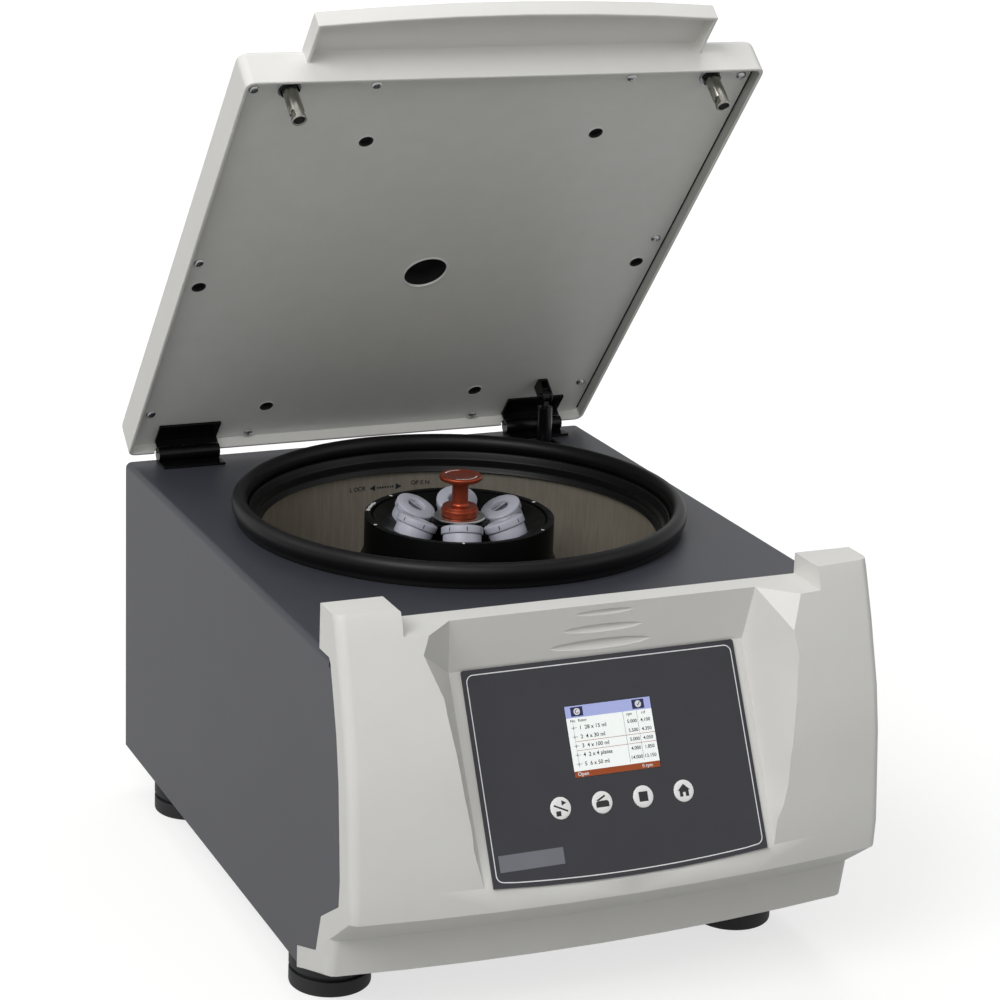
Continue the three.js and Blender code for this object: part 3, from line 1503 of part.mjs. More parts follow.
const foot_hole = strut_pin_radius + strut_open_slack;
const foot_eye = foot_hole + strut_cheek_sheet;
const rod_top = -strut_span + strut_rod_length;
let rod = turned([
  [0, -strut_span + foot_hole + fit_gap],
  [strut_rod_radius, -strut_span + foot_hole + fit_gap],
  [strut_rod_radius, rod_top - strut_piston_height],
  [strut_piston_radius, rod_top - strut_piston_height],
  [strut_piston_radius, rod_top],
  [0, rod_top],
], small_segments);
rod = rod.add(eye(foot_eye, foot_hole).translate([0, 0, -strut_span]));
strut.add(piece('strut_rod', rod, bright_steel));

// The strut's foot: a plate on the cover's side wall, with a pin through the rod's eye.
const wall_x = half_width - sheet - fit_gap;
const arm_end = wall_x - strut_cheek_sheet / 2;
let strut_foot = block(
  [wall_x - strut_cheek_sheet, strut_foot_y - foot_plate_half, lower_eye.z - foot_plate_half],
  [wall_x, strut_foot_y + foot_plate_half, lower_eye.z + foot_plate_half],
);
for (const [radius, low] of [
  [foot_arm_radius, strut_x + strut_eye_width],
  [strut_pin_radius, strut_x - strut_eye_width],
]) {
  strut_foot = strut_foot.add(bar_x(radius, low, arm_end, strut_foot_y, lower_eye.z));
}
model.add(piece('strut_foot', strut_foot, zinc));

// The origin goes to the bottom centre of the box that the machine fills with its lid open.
model.updateMatrixWorld(true);
const extent = new THREE.Box3().setFromObject(model, true);
model.position.set(0, -(extent.min.y + extent.max.y) / 2, -extent.min.z);

export default model;
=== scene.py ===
# %% [markdown]
# # A bench centrifuge with its lid open
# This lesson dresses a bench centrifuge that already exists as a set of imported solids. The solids
# stay where they are and give every place and size; here they get their finishes, and the pieces
# that need rounder or finer forms get new meshes in the same places.

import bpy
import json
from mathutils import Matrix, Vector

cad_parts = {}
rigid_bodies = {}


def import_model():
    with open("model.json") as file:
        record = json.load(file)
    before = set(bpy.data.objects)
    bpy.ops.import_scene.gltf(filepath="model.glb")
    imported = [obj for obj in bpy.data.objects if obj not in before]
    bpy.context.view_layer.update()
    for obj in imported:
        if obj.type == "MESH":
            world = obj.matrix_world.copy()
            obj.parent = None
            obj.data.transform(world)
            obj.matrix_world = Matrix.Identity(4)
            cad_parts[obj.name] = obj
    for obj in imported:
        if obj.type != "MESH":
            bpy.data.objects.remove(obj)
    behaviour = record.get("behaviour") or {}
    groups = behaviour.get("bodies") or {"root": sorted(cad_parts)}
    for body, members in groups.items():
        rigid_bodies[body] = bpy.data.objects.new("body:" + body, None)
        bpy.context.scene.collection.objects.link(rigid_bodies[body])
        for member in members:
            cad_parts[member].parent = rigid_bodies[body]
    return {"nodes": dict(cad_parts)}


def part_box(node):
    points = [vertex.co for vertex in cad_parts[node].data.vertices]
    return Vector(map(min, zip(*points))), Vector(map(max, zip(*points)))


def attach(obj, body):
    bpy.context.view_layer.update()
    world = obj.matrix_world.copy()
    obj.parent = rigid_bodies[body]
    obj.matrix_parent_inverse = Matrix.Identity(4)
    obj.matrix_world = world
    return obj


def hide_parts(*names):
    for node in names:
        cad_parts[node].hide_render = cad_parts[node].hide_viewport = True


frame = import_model()

import fnmatch
import json
import math

import bpy
from mathutils import Matrix, Vector

scene = bpy.context.scene
nodes = frame["nodes"]
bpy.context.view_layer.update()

# %% [markdown]
# All drawings of the machine are in millimetres, with the housing's front edge at zero. The bowl
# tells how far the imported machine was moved, so one helper can turn a drawing's numbers into the
# scene's metres. The lid is drawn shut and turned open round its hinge, and the control panel is
# drawn flat and leaned onto its slope, each with a matrix of its own.

# %% Places on the machine
MM = 0.001
TOP = 307
AXIS_Y = 264
HINGE_Y, HINGE_Z = 489, TOP + 8
PANEL_Y, PANEL_Z = -14, 276.5
low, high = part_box("bowl")
SHIFT_Y = (low[1] + high[1]) / 2 - AXIS_Y * MM
LID_ANGLE, PANEL_ANGLE = 50.2, 62.3


def place(x, y, z):
    """A point of the machine's drawing, in the scene's metres."""
    return Vector((x * MM, y * MM + SHIFT_Y, z * MM))


def move(x, y, z):
    """A move in millimetres, as a matrix."""
    return Matrix.Translation((x * MM, y * MM, z * MM))


def turn(angle, axis="Z"):
    """A turn in degrees, as a matrix."""
    return Matrix.Rotation(math.radians(angle), 4, axis)


ON_AXIS = Matrix.Translation(place(0, AXIS_Y, TOP))
ON_LID = Matrix.Translation(place(0, HINGE_Y, HINGE_Z)) @ turn(-LID_ANGLE, "X")
ON_PANEL = Matrix.Translation(place(0, PANEL_Y, PANEL_Z)) @ turn(PANEL_ANGLE, "X")
print("drawings shifted by", round(SHIFT_Y, 6), "m in Y")

# %% [markdown]
# The camera stands where the photographer stood: in front of the machine, to its left and above
# the open lid, with a long lens that keeps the upright edges nearly parallel. The small shift
# only sets the machine in its place in the picture.

# %% Camera
bpy.ops.object.select_all(action="DESELECT")
YAW, PITCH, ROLL = (math.radians(angle) for angle in (24.609959, -15.399146, 2.282960))
EYE = (-893.48, -1822.93, 1017.88)
PICTURE, MIDDLE = 1000, 500
FOCAL, AIM_X, AIM_Y = 2834.13, 530.94, 421.41
SENSOR = 36
ahead = Vector((math.sin(YAW) * math.cos(PITCH), math.cos(YAW) * math.cos(PITCH), math.sin(PITCH)))
side = ahead.cross(Vector((0, 0, 1))).normalized()
above = side.cross(ahead)
right = side * math.cos(ROLL) + above * math.sin(ROLL)
up = above * math.cos(ROLL) - side * math.sin(ROLL)
bpy.ops.object.camera_add()
camera = bpy.context.object
turned = Matrix((right, up, -ahead)).transposed().to_4x4()
camera.matrix_world = Matrix.Translation(place(*EYE)) @ turned
camera.data.sensor_width = SENSOR
camera.data.lens = SENSOR * FOCAL / PICTURE
camera.data.shift_x = (MIDDLE - AIM_X) / PICTURE
camera.data.shift_y = (AIM_Y - MIDDLE) / PICTURE
camera.data.clip_end = 50
scene.camera = camera
print("camera lens", round(camera.data.lens, 2), "mm")

# %% [markdown]
# Product photographs of such machines are taken on a pale sweep of paper: a floor that bends up
# into a wall, so that no edge shows behind the machine. The far edge of a plane is found by its
# place, pulled up into the wall, and the fold is rounded with a wide bevel.

# %% Sweep of paper
WIDTH, WALL, FOLD = 14, 7, 1.5
bpy.ops.mesh.primitive_plane_add(size=WIDTH, location=(0, 0, 0))
paper = bpy.context.object
paper.name = "paper_sweep"
bpy.ops.object.mode_set(mode="EDIT")
bpy.ops.mesh.select_all(action="DESELECT")
bpy.ops.object.mode_set(mode="OBJECT")
for edge in paper.data.edges:
    ends = [paper.data.vertices[index].co.y for index in edge.vertices]
    edge.select = min(ends) > 0.4 * WIDTH
bpy.ops.object.mode_set(mode="EDIT")
bpy.ops.mesh.select_mode(type="EDGE")
bpy.ops.mesh.extrude_region_move(TRANSFORM_OT_translate={"value": (0, 0.5, WALL)})
bpy.ops.mesh.select_all(action="SELECT")
bpy.ops.mesh.bevel(offset=FOLD, segments=8, affect="EDGES")
bpy.ops.object.mode_set(mode="OBJECT")
bpy.ops.object.shade_smooth()
print("paper sweep:", len(paper.data.polygons), "faces")

# %% [markdown]
# The light comes from large soft boxes, and five area lamps stand for them. The key light stands
# at the front left, the top light is the widest, and the others only lift the shadows. Each lamp
# has a place, a size and a power, and looks at a point in the middle of the machine.

# %% Soft boxes
AIM = Vector((0, 0, 0.3))
LAMPS = [
    ("key_box", (-2.3, -1.65, 2.8), 1.9, 76),
    ("front_box", (-0.9, -2.4, 2.2), 1.6, 15),
    ("side_box", (-2.4, 1.0, 1.7), 1.2, 8),
    ("fill_box", (2.5, -2.2, 1.6), 1.8, 9),
    ("top_box", (0.2, 0.8, 3.0), 2.2, 30),
]
for name, spot, size, power in LAMPS:
    bpy.ops.object.light_add(type="AREA", location=spot)
    lamp = bpy.context.object
    lamp.name = name
    lamp.data.shape = "SQUARE"
    lamp.data.size = size
    lamp.data.energy = power
    lamp.rotation_euler = (AIM - Vector(spot)).to_track_quat("-Z", "Y").to_euler()
scene.view_settings.view_transform = "Standard"
print(len(LAMPS), "soft boxes")

# %% [markdown]
# A finish is a small net of shader nodes. Written out node by node it hides its idea, so helpers
# let it be written as sums: a Wire carries a number from node to node and knows plus and times, a
# Net adds any other node, and a Finish is a Net that ends in a Principled shader. Patterns are
# read in millimetres from Object coordinates, so their scale is the real one.

# %% Helpers for finishes
class Wire:
    """A number that runs through a net of nodes and can be used in sums."""

    def __init__(self, net, socket):
        self.net = net
        self.socket = socket

    def maths(self, operation, other):
        return self.net.add("Math", {"operation": operation}, {0: self, 1: other})

    def __add__(self, other):
        return self.maths("ADD", other)

    def __mul__(self, other):
        return self.maths("MULTIPLY", other)

    __radd__ = __add__
    __rmul__ = __mul__


class Net:
    """A net of shader nodes under construction, in a material or in the air."""

    def __init__(self, tree):
        self.tree = tree

    def put(self, socket, value):
        if isinstance(value, Wire):
            self.tree.links.new(value.socket, socket)
        elif isinstance(value, (int, float)) or socket.type != "RGBA":
            socket.default_value = value
        else:
            socket.default_value = (*value, 1) if len(value) == 3 else value

    def add(self, kind, settings=None, sockets=None, out=0):
        node = self.tree.nodes.new("ShaderNode" + kind)
        for key, value in (settings or {}).items():
            setattr(node, key, value)
        for key, value in (sockets or {}).items():
            self.put(node.inputs[key], value)
        return Wire(self, node.outputs[out])

    def rays(self):
        """Two numbers that are 1 on rays from the camera and on mirrored rays."""
        seen = self.add("LightPath", out="Is Camera Ray")
        return seen, Wire(self, seen.socket.node.outputs["Is Glossy Ray"])


FINISHES = {}


class Finish(Net):
    """A material under construction, which is closed with a Principled shader."""

    def __init__(self, name):
        self.material = bpy.data.materials.new(f"finish_{name}")
        FINISHES[name] = self.material
        self.material.use_nodes = True
        super().__init__(self.material.node_tree)
        self.shader = self.tree.nodes["Principled BSDF"]

    def spots(self, home=None, pitch=1):
        """Object coordinates in millimetres, measured from a home where one is given."""
        where = self.add("TexCoord", out="Object")
        if home is not None:
            where = self.add(
                "Mapping",
                {"vector_type": "TEXTURE"},
                {"Vector": where, "Location": home.to_translation(), "Rotation": home.to_euler()},
            )
        scale = (1000 * pitch,) * 3
        return self.add("VectorMath", {"operation": "MULTIPLY"}, {0: where, 1: scale})

    def noise(self, spots, scale, detail=3.0, roughness=0.55):
        sockets = {"Vector": spots, "Scale": scale, "Detail": detail, "Roughness": roughness}
        return self.add("TexNoise", sockets=sockets)

    def axes(self, spots):
        split = self.add("SeparateXYZ", sockets={0: spots})
        outputs = split.socket.node.outputs
        return [Wire(self, outputs[k]) for k in range(3)]

    def between(self, share, first, second):
        """A colour that runs from the first to the second as the share goes from 0 to 1."""
        sockets = {0: share, 6: first, 7: second}
        return self.add("Mix", {"data_type": "RGBA"}, sockets, out=2)

    def steps(self, share, low, high):
        return self.add("MapRange", sockets={0: share, 3: low, 4: high})

    def relief(self, height, strength, depth_mm):
        sockets = {"Height": height, "Strength": strength, "Distance": depth_mm * MM}
        return self.add("Bump", sockets=sockets)

    def close(self, **sockets):
        """Plugs values into the Principled shader: base_color goes into Base Color."""
        for key, value in sockets.items():
            socket = key.replace("_", " ").title().replace("Ior", "IOR")
            self.put(self.shader.inputs[socket], value)


def shade(code):
    """A screen colour such as 3c3d44 as the light values that Blender uses."""
    parts = [int(code[k:k + 2], 16) / 255 for k in (0, 2, 4)]
    return tuple(p / 12.92 if p <= 0.04045 else ((p + 0.055) / 1.055) ** 2.4 for p in parts)


print("helpers for finishes are ready")

# %% [markdown]
# The paper and the air behind it come first. Light Path tells which rays are seen by the camera
# or in a reflection, and only those get an extra brightness, which rises away from the machine.
# So the paper looks almost white and still keeps the machine's shadow.

# %% Paper and air
paper_finish = Finish("paper")
seen, mirrored = paper_finish.rays()
reach = paper_finish.add(
    "VectorMath", {"operation": "LENGTH"}, {0: paper_finish.spots()}, out="Value",
)
NEAR, FAR, NEAR_GLOW, FAR_GLOW = 400, 2400, 0.68, 0.98
rise = paper_finish.add(
    "MapRange", sockets={0: reach, 1: NEAR, 2: FAR, 3: NEAR_GLOW, 4: FAR_GLOW},
)
glow = paper_finish.between((seen + mirrored * 0.6) * rise, (0, 0, 0), (1, 1, 1))
paper_finish.close(
    base_color=shade("a6a6a4"), roughness=0.9, emission_color=glow, emission_strength=1,
)
paper.data.materials.append(paper_finish.material)

world = bpy.data.worlds.new("air")
scene.world = world
world.use_nodes = True
air = Net(world.node_tree)
seen, mirrored = air.rays()
SHADED_AIR, BRIGHT_AIR = 0.2, 1.0
level = air.add("Mix", sockets={0: seen + mirrored * 0.5, 2: SHADED_AIR, 3: BRIGHT_AIR})
background = air.tree.nodes["Background"]
air.put(background.inputs["Color"], (0.98, 0.99, 1.0))
air.put(background.inputs["Strength"], level)
print("paper and air are lit")

# %% [markdown]
# The cover is sheet steel under a textured powder coat: a dark blue grey whose grains are about
# half a millimetre across. The grains are a fine noise in the bump, and a slow noise changes the
# colour by a few percent, because a perfectly even colour looks like plastic.

# %% Powder coat
coat = Finish("anthracite_coat")
spots = coat.spots()
grain = coat.noise(spots, 1.7, detail=2)
cloud = coat.noise(spots, 0.012)
tone = coat.between(cloud, shade("2b2c34"), shade("383941"))
coat.close(
    base_color=coat.between(coat.steps(grain, -0.6, 1.1), tone, shade("44454d")),
    roughness=coat.steps(grain, 0.36, 0.52),
    normal=coat.relief(grain, 0.45, 0.16),
)
print("powder coat")

# %% [markdown]
# The front and the lid's shell are moulded in a pale warm grey with an eroded skin, finer than the
# powder coat. Handling makes the skin a little glossier in places, so the roughness follows a
# slow noise as well.

# %% Pale moulding
def eroded(name, dark, pale, smooth, rough, patch_scale, grain_scale, strength, depth):
    skin = Finish(name)
    spots = skin.spots()
    patches = skin.noise(spots, patch_scale)
    skin.close(
        base_color=skin.between(patches, shade(dark), shade(pale)),
        roughness=skin.steps(patches, smooth, rough),
        normal=skin.relief(skin.noise(spots, grain_scale, detail=2), strength, depth),
    )


eroded("pale_moulding", "dad9d5", "e2e1dd", 0.42, 0.54, 0.02, 2.6, 0.22, 0.08)
# A darker copy of the moulding is painted shade for the lid's inner side walls, which lie in the
# shadow of its rim.
eroded("painted_shade_moulding", "a2a29e", "abaaa6", 0.55, 0.65, 0.03, 2.0, 0.25, 0.1)
print("pale moulding")

# %% [markdown]
# Metals differ mostly in the marks that tools leave. One helper makes a grained metal: a fine
# noise changes the roughness and the colour and lifts the surface by a few hundredths of a
# millimetre. Turned pieces have their marks in rings, so a second helper reads the distance from
# the machine's axis and the height. The spun bowl has both rings and upright streaks.

# %% Grained and turned metal
def stained(metal, lines, dark, pale, scale, strength):
    """A metal's colour: it follows the lines and darkens a little in slow stains."""
    stains = metal.noise(metal.spots(), scale)
    tint = metal.between(metal.steps(lines, -0.2, 1.2), shade(dark), shade(pale))
    return metal.between(stains * strength, tint, shade(dark))


def grained(name, dark, pale, rough, pitch, depth=0.03):
    """A rolled, plated or cast metal, with as many grains to a millimetre as the pitch says."""
    metal = Finish(name)
    lines = metal.noise(metal.spots(pitch=pitch), 1.0, detail=4)
    metal.close(
        base_color=stained(metal, lines, dark, pale, 0.03, 0.5),
        roughness=metal.steps(lines, rough - 0.08, rough + 0.1),
        metallic=1.0,
        normal=metal.relief(lines, 0.25, depth),
    )


def turned_metal(name, dark, pale, rough, depth=0.02, metallic=1.0, **constants):
    """A metal with rings round the machine's axis, two to a millimetre."""
    metal = Finish(name)
    x, y, z = metal.axes(metal.spots(ON_AXIS))
    reach = metal.add("Math", {"operation": "SQRT"}, {0: x * x + y * y})
    rings = metal.add("CombineXYZ", sockets={0: reach * 2.0, 1: z * 2.0, 2: 0.0})
    lines = metal.noise(rings, 1.0, detail=4)
    metal.close(
        base_color=stained(metal, lines, dark, pale, 0.04, 0.4),
        roughness=metal.steps(lines, rough - 0.07, rough + 0.1),
        metallic=metallic,
        normal=metal.relief(lines, 0.2, depth),
        **constants,
    )


spun = Finish("spun_steel")
x, y, z = spun.axes(spun.spots(ON_AXIS))
upright = spun.add("CombineXYZ", sockets={0: x * 0.3, 1: y * 0.3, 2: z * 0.03})
streaks = spun.noise(upright, 1.0, detail=6, roughness=0.6)
levels = spun.add("CombineXYZ", sockets={0: 0.0, 1: 0.0, 2: z * 2.5})
fine_lines = spun.noise(levels, 1.0, detail=4)
spun.close(
    base_color=spun.between(spun.steps(streaks, -0.6, 1.6), shade("8f897d"), shade("a39c8f")),
    roughness=spun.steps(streaks, 0.36, 0.44),
    metallic=0.5,
    normal=spun.relief(fine_lines, 0.25, 0.02),
)
turned_metal("turned_steel", "a8a9aa", "cfcfce", 0.22)
grained("zinc_plate", "8f9396", "b4b7b9", 0.42, 0.4)
grained("cast_metal", "6a6d72", "85888c", 0.55, 0.9, depth=0.1)
grained("plain_steel", "9fa0a2", "c9cacb", 0.26, 0.9, depth=0.01)
print("grained and turned metals")

# %% [markdown]
# Anodised aluminium keeps the turning marks under a coloured skin: nearly black on the rotor and
# a copper red on the knob. Rubber is dark and dull with a faint bloom, and the small mouldings
# have a plain fine skin; a last helper makes all of these.

# %% Anodising, rubber and small mouldings
turned_metal(
    "black_anodised", "020202", "060606", 0.36, depth=0.015, metallic=0.0, specular_ior_level=0.1,
)
turned_metal("bronze_anodised", "8e3b25", "b25238", 0.36, depth=0.01, metallic=0.85)


def moulded(name, dark, pale, rough, grain_scale, depth, **constants):
    """A plain skin with a fine grain and a slow change from a dark to a pale colour."""
    part = Finish(name)
    spots = part.spots()
    grain = part.noise(spots, grain_scale, detail=3)
    cloud = part.noise(spots, 0.05)
    part.close(
        base_color=part.between(cloud, shade(dark), shade(pale)),
        roughness=part.steps(grain, rough - 0.06, rough + 0.08),
        normal=part.relief(grain, 0.3, depth),
        **constants,
    )


moulded("rubber", "161618", "232326", 0.62, 1.5, 0.06)
moulded("seal_rubber", "070708", "0d0d0e", 0.4, 0.9, 0.04, specular_ior_level=0.22)
moulded("black_gloss", "070707", "0d0d0e", 0.2, 0.6, 0.03, specular_ior_level=0.25)
moulded("black_plastic", "17171a", "222226", 0.5, 2.2, 0.06)
moulded("cap_plastic", "a6a7b4", "b4b5c0", 0.42, 1.2, 0.03)
# The darker cap colour is painted shade for the recess in each cap.
moulded("cap_recess_shade", "54555e", "62636d", 0.6, 1.2, 0.03)
moulded("tube_plastic", "d4d8e4", "e0e3ec", 0.35, 1.0, 0.02)
moulded("board_green", "1c5236", "236243", 0.45, 0.8, 0.05)
moulded("key_white", "e9e9e8", "f2f2f1", 0.4, 1.4, 0.02)
moulded("foil_grey", "29292f", "2f2f35", 0.46, 3.0, 0.03)
moulded("liner_paint", "dfe0db", "e8e9e5", 0.38, 0.8, 0.05)
print("anodising, rubber and small mouldings")

# %% [markdown]
# Every solid gets its finish here, by its name or by a pattern that several names follow. The
# rounder pieces are given new meshes further down, and those take the same finishes.

# %% Finishes on the solids
DRESS = {
    "anthracite_coat": ["housing_cover", "rear_panel"],
    "pale_moulding": ["front_bezel", "lid_shell"],
    "foil_grey": ["control_panel", "display"],
    "key_white": ["key_*"],
    "spun_steel": ["bowl"],
    "liner_paint": ["lid_liner"],
    "turned_steel": ["motor_shaft", "rotor_washer"],
    "plain_steel": ["latch_bolt_*", "latch_pin_*", "strut_rod"],
    "zinc_plate": ["base_plate", "motor_plate", "latch_body_*", "strut_foot"],
    "rubber": ["shaft_boot", "foot_*", "motor_mount_*"],
    "seal_rubber": ["lid_gasket"],
    "black_gloss": ["hinge_leaf_*", "lid_leaf_*", "strut_bracket", "strut_cylinder"],
    "cast_metal": ["motor_housing", "motor_end_cover"],
    "black_anodised": ["rotor"],
    "bronze_anodised": ["rotor_knob"],
    "cap_plastic": ["tube_cap_*"],
    "tube_plastic": ["tube_[1-6]"],
    "black_plastic": ["mains_inlet", "mains_rocker"],
    "board_green": ["control_board"],
}
bare = set(nodes)
for finish_name, patterns in DRESS.items():
    for pattern in patterns:
        for name in fnmatch.filter(nodes, pattern):
            slots = nodes[name].data.materials
            slots.clear()
            slots.append(FINISHES[finish_name])
            bare.discard(name)
print("solids without a finish:", sorted(bare))

# %% [markdown]
# Every new piece ends in the same steps. A bevel that only takes sharp edges rounds the rims,
# since no machined edge is perfectly sharp, and smooth shading stops at what is still sharp. Then
# the piece goes to its place, which is fixed in its mesh, and gets its finish and its body.

# %% Helpers for finishing a piece
SHARP_EDGE = math.radians(32)


def choose(*pieces):
    """Selects only the given pieces and makes the first of them active."""
    bpy.ops.object.select_all(action="DESELECT")
    for piece in pieces:
        piece.select_set(True)
    bpy.context.view_layer.objects.active = pieces[0]


def modify(piece, kind, **settings):
    """Adds a modifier with its settings and applies it."""
    choose(piece)
    bpy.ops.object.modifier_add(type=kind)
    modifier = piece.modifiers[-1]
    for key, value in settings.items():
        setattr(modifier, key, value)
    bpy.ops.object.modifier_apply(modifier=modifier.name)


def settle(piece, home):
    """Takes a piece to its home and fixes that place in its mesh."""
    piece.matrix_world = home @ piece.matrix_world
    choose(piece)
    bpy.ops.object.transform_apply(location=True, rotation=True, scale=True)
    return piece


def finish_piece(piece, home, finish, body, bevel=0.0, segments=2, smooth=35):
    """Rounds and smooths a piece, settles it, gives it its finish and hangs it on a body."""
    bpy.ops.object.mode_set(mode="OBJECT")
    choose(piece)
    if bevel:
        modify(
            piece, "BEVEL", width=bevel * MM, segments=segments,
            limit_method="ANGLE", angle_limit=SHARP_EDGE, use_clamp_overlap=True,
        )
    bpy.ops.object.shade_smooth_by_angle(angle=math.radians(smooth))
    settle(piece, home)
    piece.data.materials.clear()
    piece.data.materials.append(FINISHES[finish])
    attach(piece, body)
    return piece


print("helpers for finishing a piece are ready")

# %% [markdown]
# Most round pieces of the machine are turned or spun, and Blender's Spin does the same: an
# outline is drawn point by point with extrusions and spun round the upright axis, and the normals
# are turned outwards. Roundings of an outline are arcs of a few points.

# %% Helpers for spinning
def turn_outwards(piece):
    bpy.ops.object.mode_set(mode="EDIT")
    bpy.ops.mesh.select_all(action="SELECT")
    bpy.ops.mesh.remove_doubles(threshold=2e-6)
    bpy.ops.mesh.normals_make_consistent(inside=False)
    bpy.ops.object.mode_set(mode="OBJECT")


def draw(name, points):
    """Draws a line through points in millimetres and leaves it selected in Edit Mode."""
    bpy.ops.object.select_all(action="DESELECT")
    bpy.ops.mesh.primitive_plane_add(size=0.001)
    piece = bpy.context.object
    piece.name = name
    bpy.ops.object.mode_set(mode="EDIT")
    bpy.ops.mesh.select_mode(type="VERT")
    bpy.ops.mesh.merge(type="CENTER")
    bpy.ops.transform.translate(value=[value * MM for value in points[0]])
    for start, end in zip(points, points[1:]):
        step = [(after - before) * MM for before, after in zip(start, end)]
        bpy.ops.mesh.extrude_region_move(TRANSFORM_OT_translate={"value": step})
    bpy.ops.mesh.select_all(action="SELECT")
    return piece


def spin_outline(name, outline, steps=96):
    """Spins an outline of (radius, height) pairs into a solid."""
    piece = draw(name, [(radius, 0, height) for radius, height in outline])
    bpy.ops.mesh.spin(steps=steps, angle=math.tau, center=(0, 0, 0), axis=(0, 0, 1))
    turn_outwards(piece)
    return piece


def arc(r, z, radius_r, radius_z, start, end, steps):
    """Points on an oval arc of an outline, with angles in degrees."""
    points = []
    for k in range(steps + 1):
        angle = math.radians(start + (end - start) * k / steps)
        points.append((r + radius_r * math.cos(angle), z + radius_z * math.sin(angle)))
    return points


print("helpers for spinning are ready")

# %% [markdown]
# The bowl is spun from one disc of stainless steel. Its wall, the round corner at the floor and
# the flange under the cover are one thin outline, closed on itself.

# %% Bowl
CORNER_R, CORNER_Z, CORNER_ROUND, SHEET = 152.5, -114, 18, 1.5
bowl_outline = [(184.5, -2.3), (172, -2.3), (170.5, -3.8)]
bowl_outline += arc(CORNER_R, CORNER_Z, CORNER_ROUND, CORNER_ROUND, 0, -90, 8)
bowl_outline += [(32, -132), (32, -132 - SHEET), (CORNER_R, -132 - SHEET)]
outside = CORNER_ROUND + SHEET
bowl_outline += arc(CORNER_R, CORNER_Z, outside, outside, -90, 0, 8)
bowl_outline += [(172, -3.8), (184.5, -3.8), (184.5, -2.3)]
bowl = spin_outline("spun_bowl", bowl_outline, 144)
finish_piece(bowl, ON_AXIS, "spun_steel", "housing")
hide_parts("bowl")
print("bowl:", len(bowl.data.polygons), "faces")

# %% [markdown]
# The seal is extruded rubber: a fat round bulb that the shut lid squeezes, a flat lip that lies on
# the cover, and a short skirt that hangs into the bowl's mouth.

# %% Seal
seal_outline = [
    (166, -9), (167, -9.6), (169.8, -8.6), (169.8, 0.3), (186.5, 0.3), (187, 1.4), (186.4, 3.2),
]
seal_outline += arc(183.7, 12.5, 6.5, 8.2, -52, 232, 18)
seal_outline += [
    (178.4, 5.6), (177.2, 6.2), (176, 7.4), (175, 7.2), (174.4, 6), (173.6, 2), (172.4, -1.6),
    (170.4, -3.8), (169, -4), (168, -4.6), (167.5, -5.4), (167.2, -7), (166, -9),
]
seal = spin_outline("bowl_seal", seal_outline, 144)
finish_piece(seal, ON_AXIS, "seal_rubber", "housing", smooth=60)
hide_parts("lid_gasket")
print("seal:", len(seal.data.polygons), "faces")

# %% [markdown]
# The rotor is turned from one block and anodised black. Its dish rises outward at the angle of the
# tubes, so each bore stands square to it. The bores are cut last, each with a wider seat for
# the cap, by a spun cutter that is made once and copied for each bore.

# %% Rotor
def drop(*pieces):
    """Throws away pieces that have done their work."""
    for piece in pieces:
        bpy.data.objects.remove(piece, do_unlink=True)


def copy_of(piece, name):
    """Copies a piece together with its mesh."""
    choose(piece)
    bpy.ops.object.duplicate()
    twin = bpy.context.object
    twin.name = name
    return twin


def cut_with(piece, cutter):
    """Cuts one closed piece out of another and throws the cutter away."""
    modify(piece, "BOOLEAN", operation="DIFFERENCE", solver="EXACT", object=cutter)
    drop(cutter)


TUBES = 6
TUBE_TILT = -25
FIRST_TUBE = -109.5
CAP_RADIUS, CAP_HEIGHT = 42, 1.1
DISH_RADIUS, DISH_HEIGHT, DISH_SLOPE = 47.52, -10.73, 0.4663


def dish(radius):
    """A point of the dish in the rotor's outline."""
    return (radius, DISH_HEIGHT + (radius - DISH_RADIUS) * DISH_SLOPE)


rotor_outline = [
    (9.3, -85.7), (21, -85.7), (21, -96), (93, -104), (108, -104), (108, -96), (79.6, -28),
    (79.6, 2), (74, 2), (74, -1.2), dish(72.4), dish(25.2), (23.6, -3.4), (22, -1.8),
    (9.3, -1.8), (9.3, -85.7),
]
rotor = spin_outline("turned_rotor", rotor_outline, 128)


def bore_home(k):
    """The place of a cap in its bore, with the tube's axis upright."""
    round_axis = turn(FIRST_TUBE + 360 / TUBES * k)
    return round_axis @ move(CAP_RADIUS, 0, CAP_HEIGHT) @ turn(TUBE_TILT, "Y")


bore_outline = [
    (0, -105.5), (4, -105.5), (14.15, -90.5), (14.15, -13.05), (15.9, -13.05), (15.9, 20), (0, 20),
]
first_cutter = spin_outline("bore_cutter", bore_outline, 48)
for k in range(TUBES):
    cutter = copy_of(first_cutter, "bore_cutter_now")
    cutter.matrix_world = bore_home(k) @ cutter.matrix_world
    cut_with(rotor, cutter)
drop(first_cutter)
finish_piece(rotor, ON_AXIS, "black_anodised", "rotor", bevel=0.7)
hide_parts("rotor")
print("rotor:", len(rotor.data.polygons), "faces")

# %% [markdown]
# A tube's cap has a skirt that screws onto the tube, a wide flange with notches for the fingers,
# and a recess with a round boss that a narrow grip crosses. It is spun once; every fourth row of
# faces on the flange stays back while the others are lifted out, which leaves the notches. The
# recess lies in the cap's own shadow, so its faces take a darker finish.

# %% Tube caps
def block(name, middle, spans):
    """A box with its middle and its three lengths in millimetres."""
    bpy.ops.object.select_all(action="DESELECT")
    spot, size = [value * MM for value in middle], [value * MM for value in spans]
    bpy.ops.mesh.primitive_cube_add(size=1, location=spot, scale=size)
    piece = bpy.context.object
    piece.name = name
    bpy.ops.object.transform_apply(location=True, rotation=True, scale=True)
    return piece


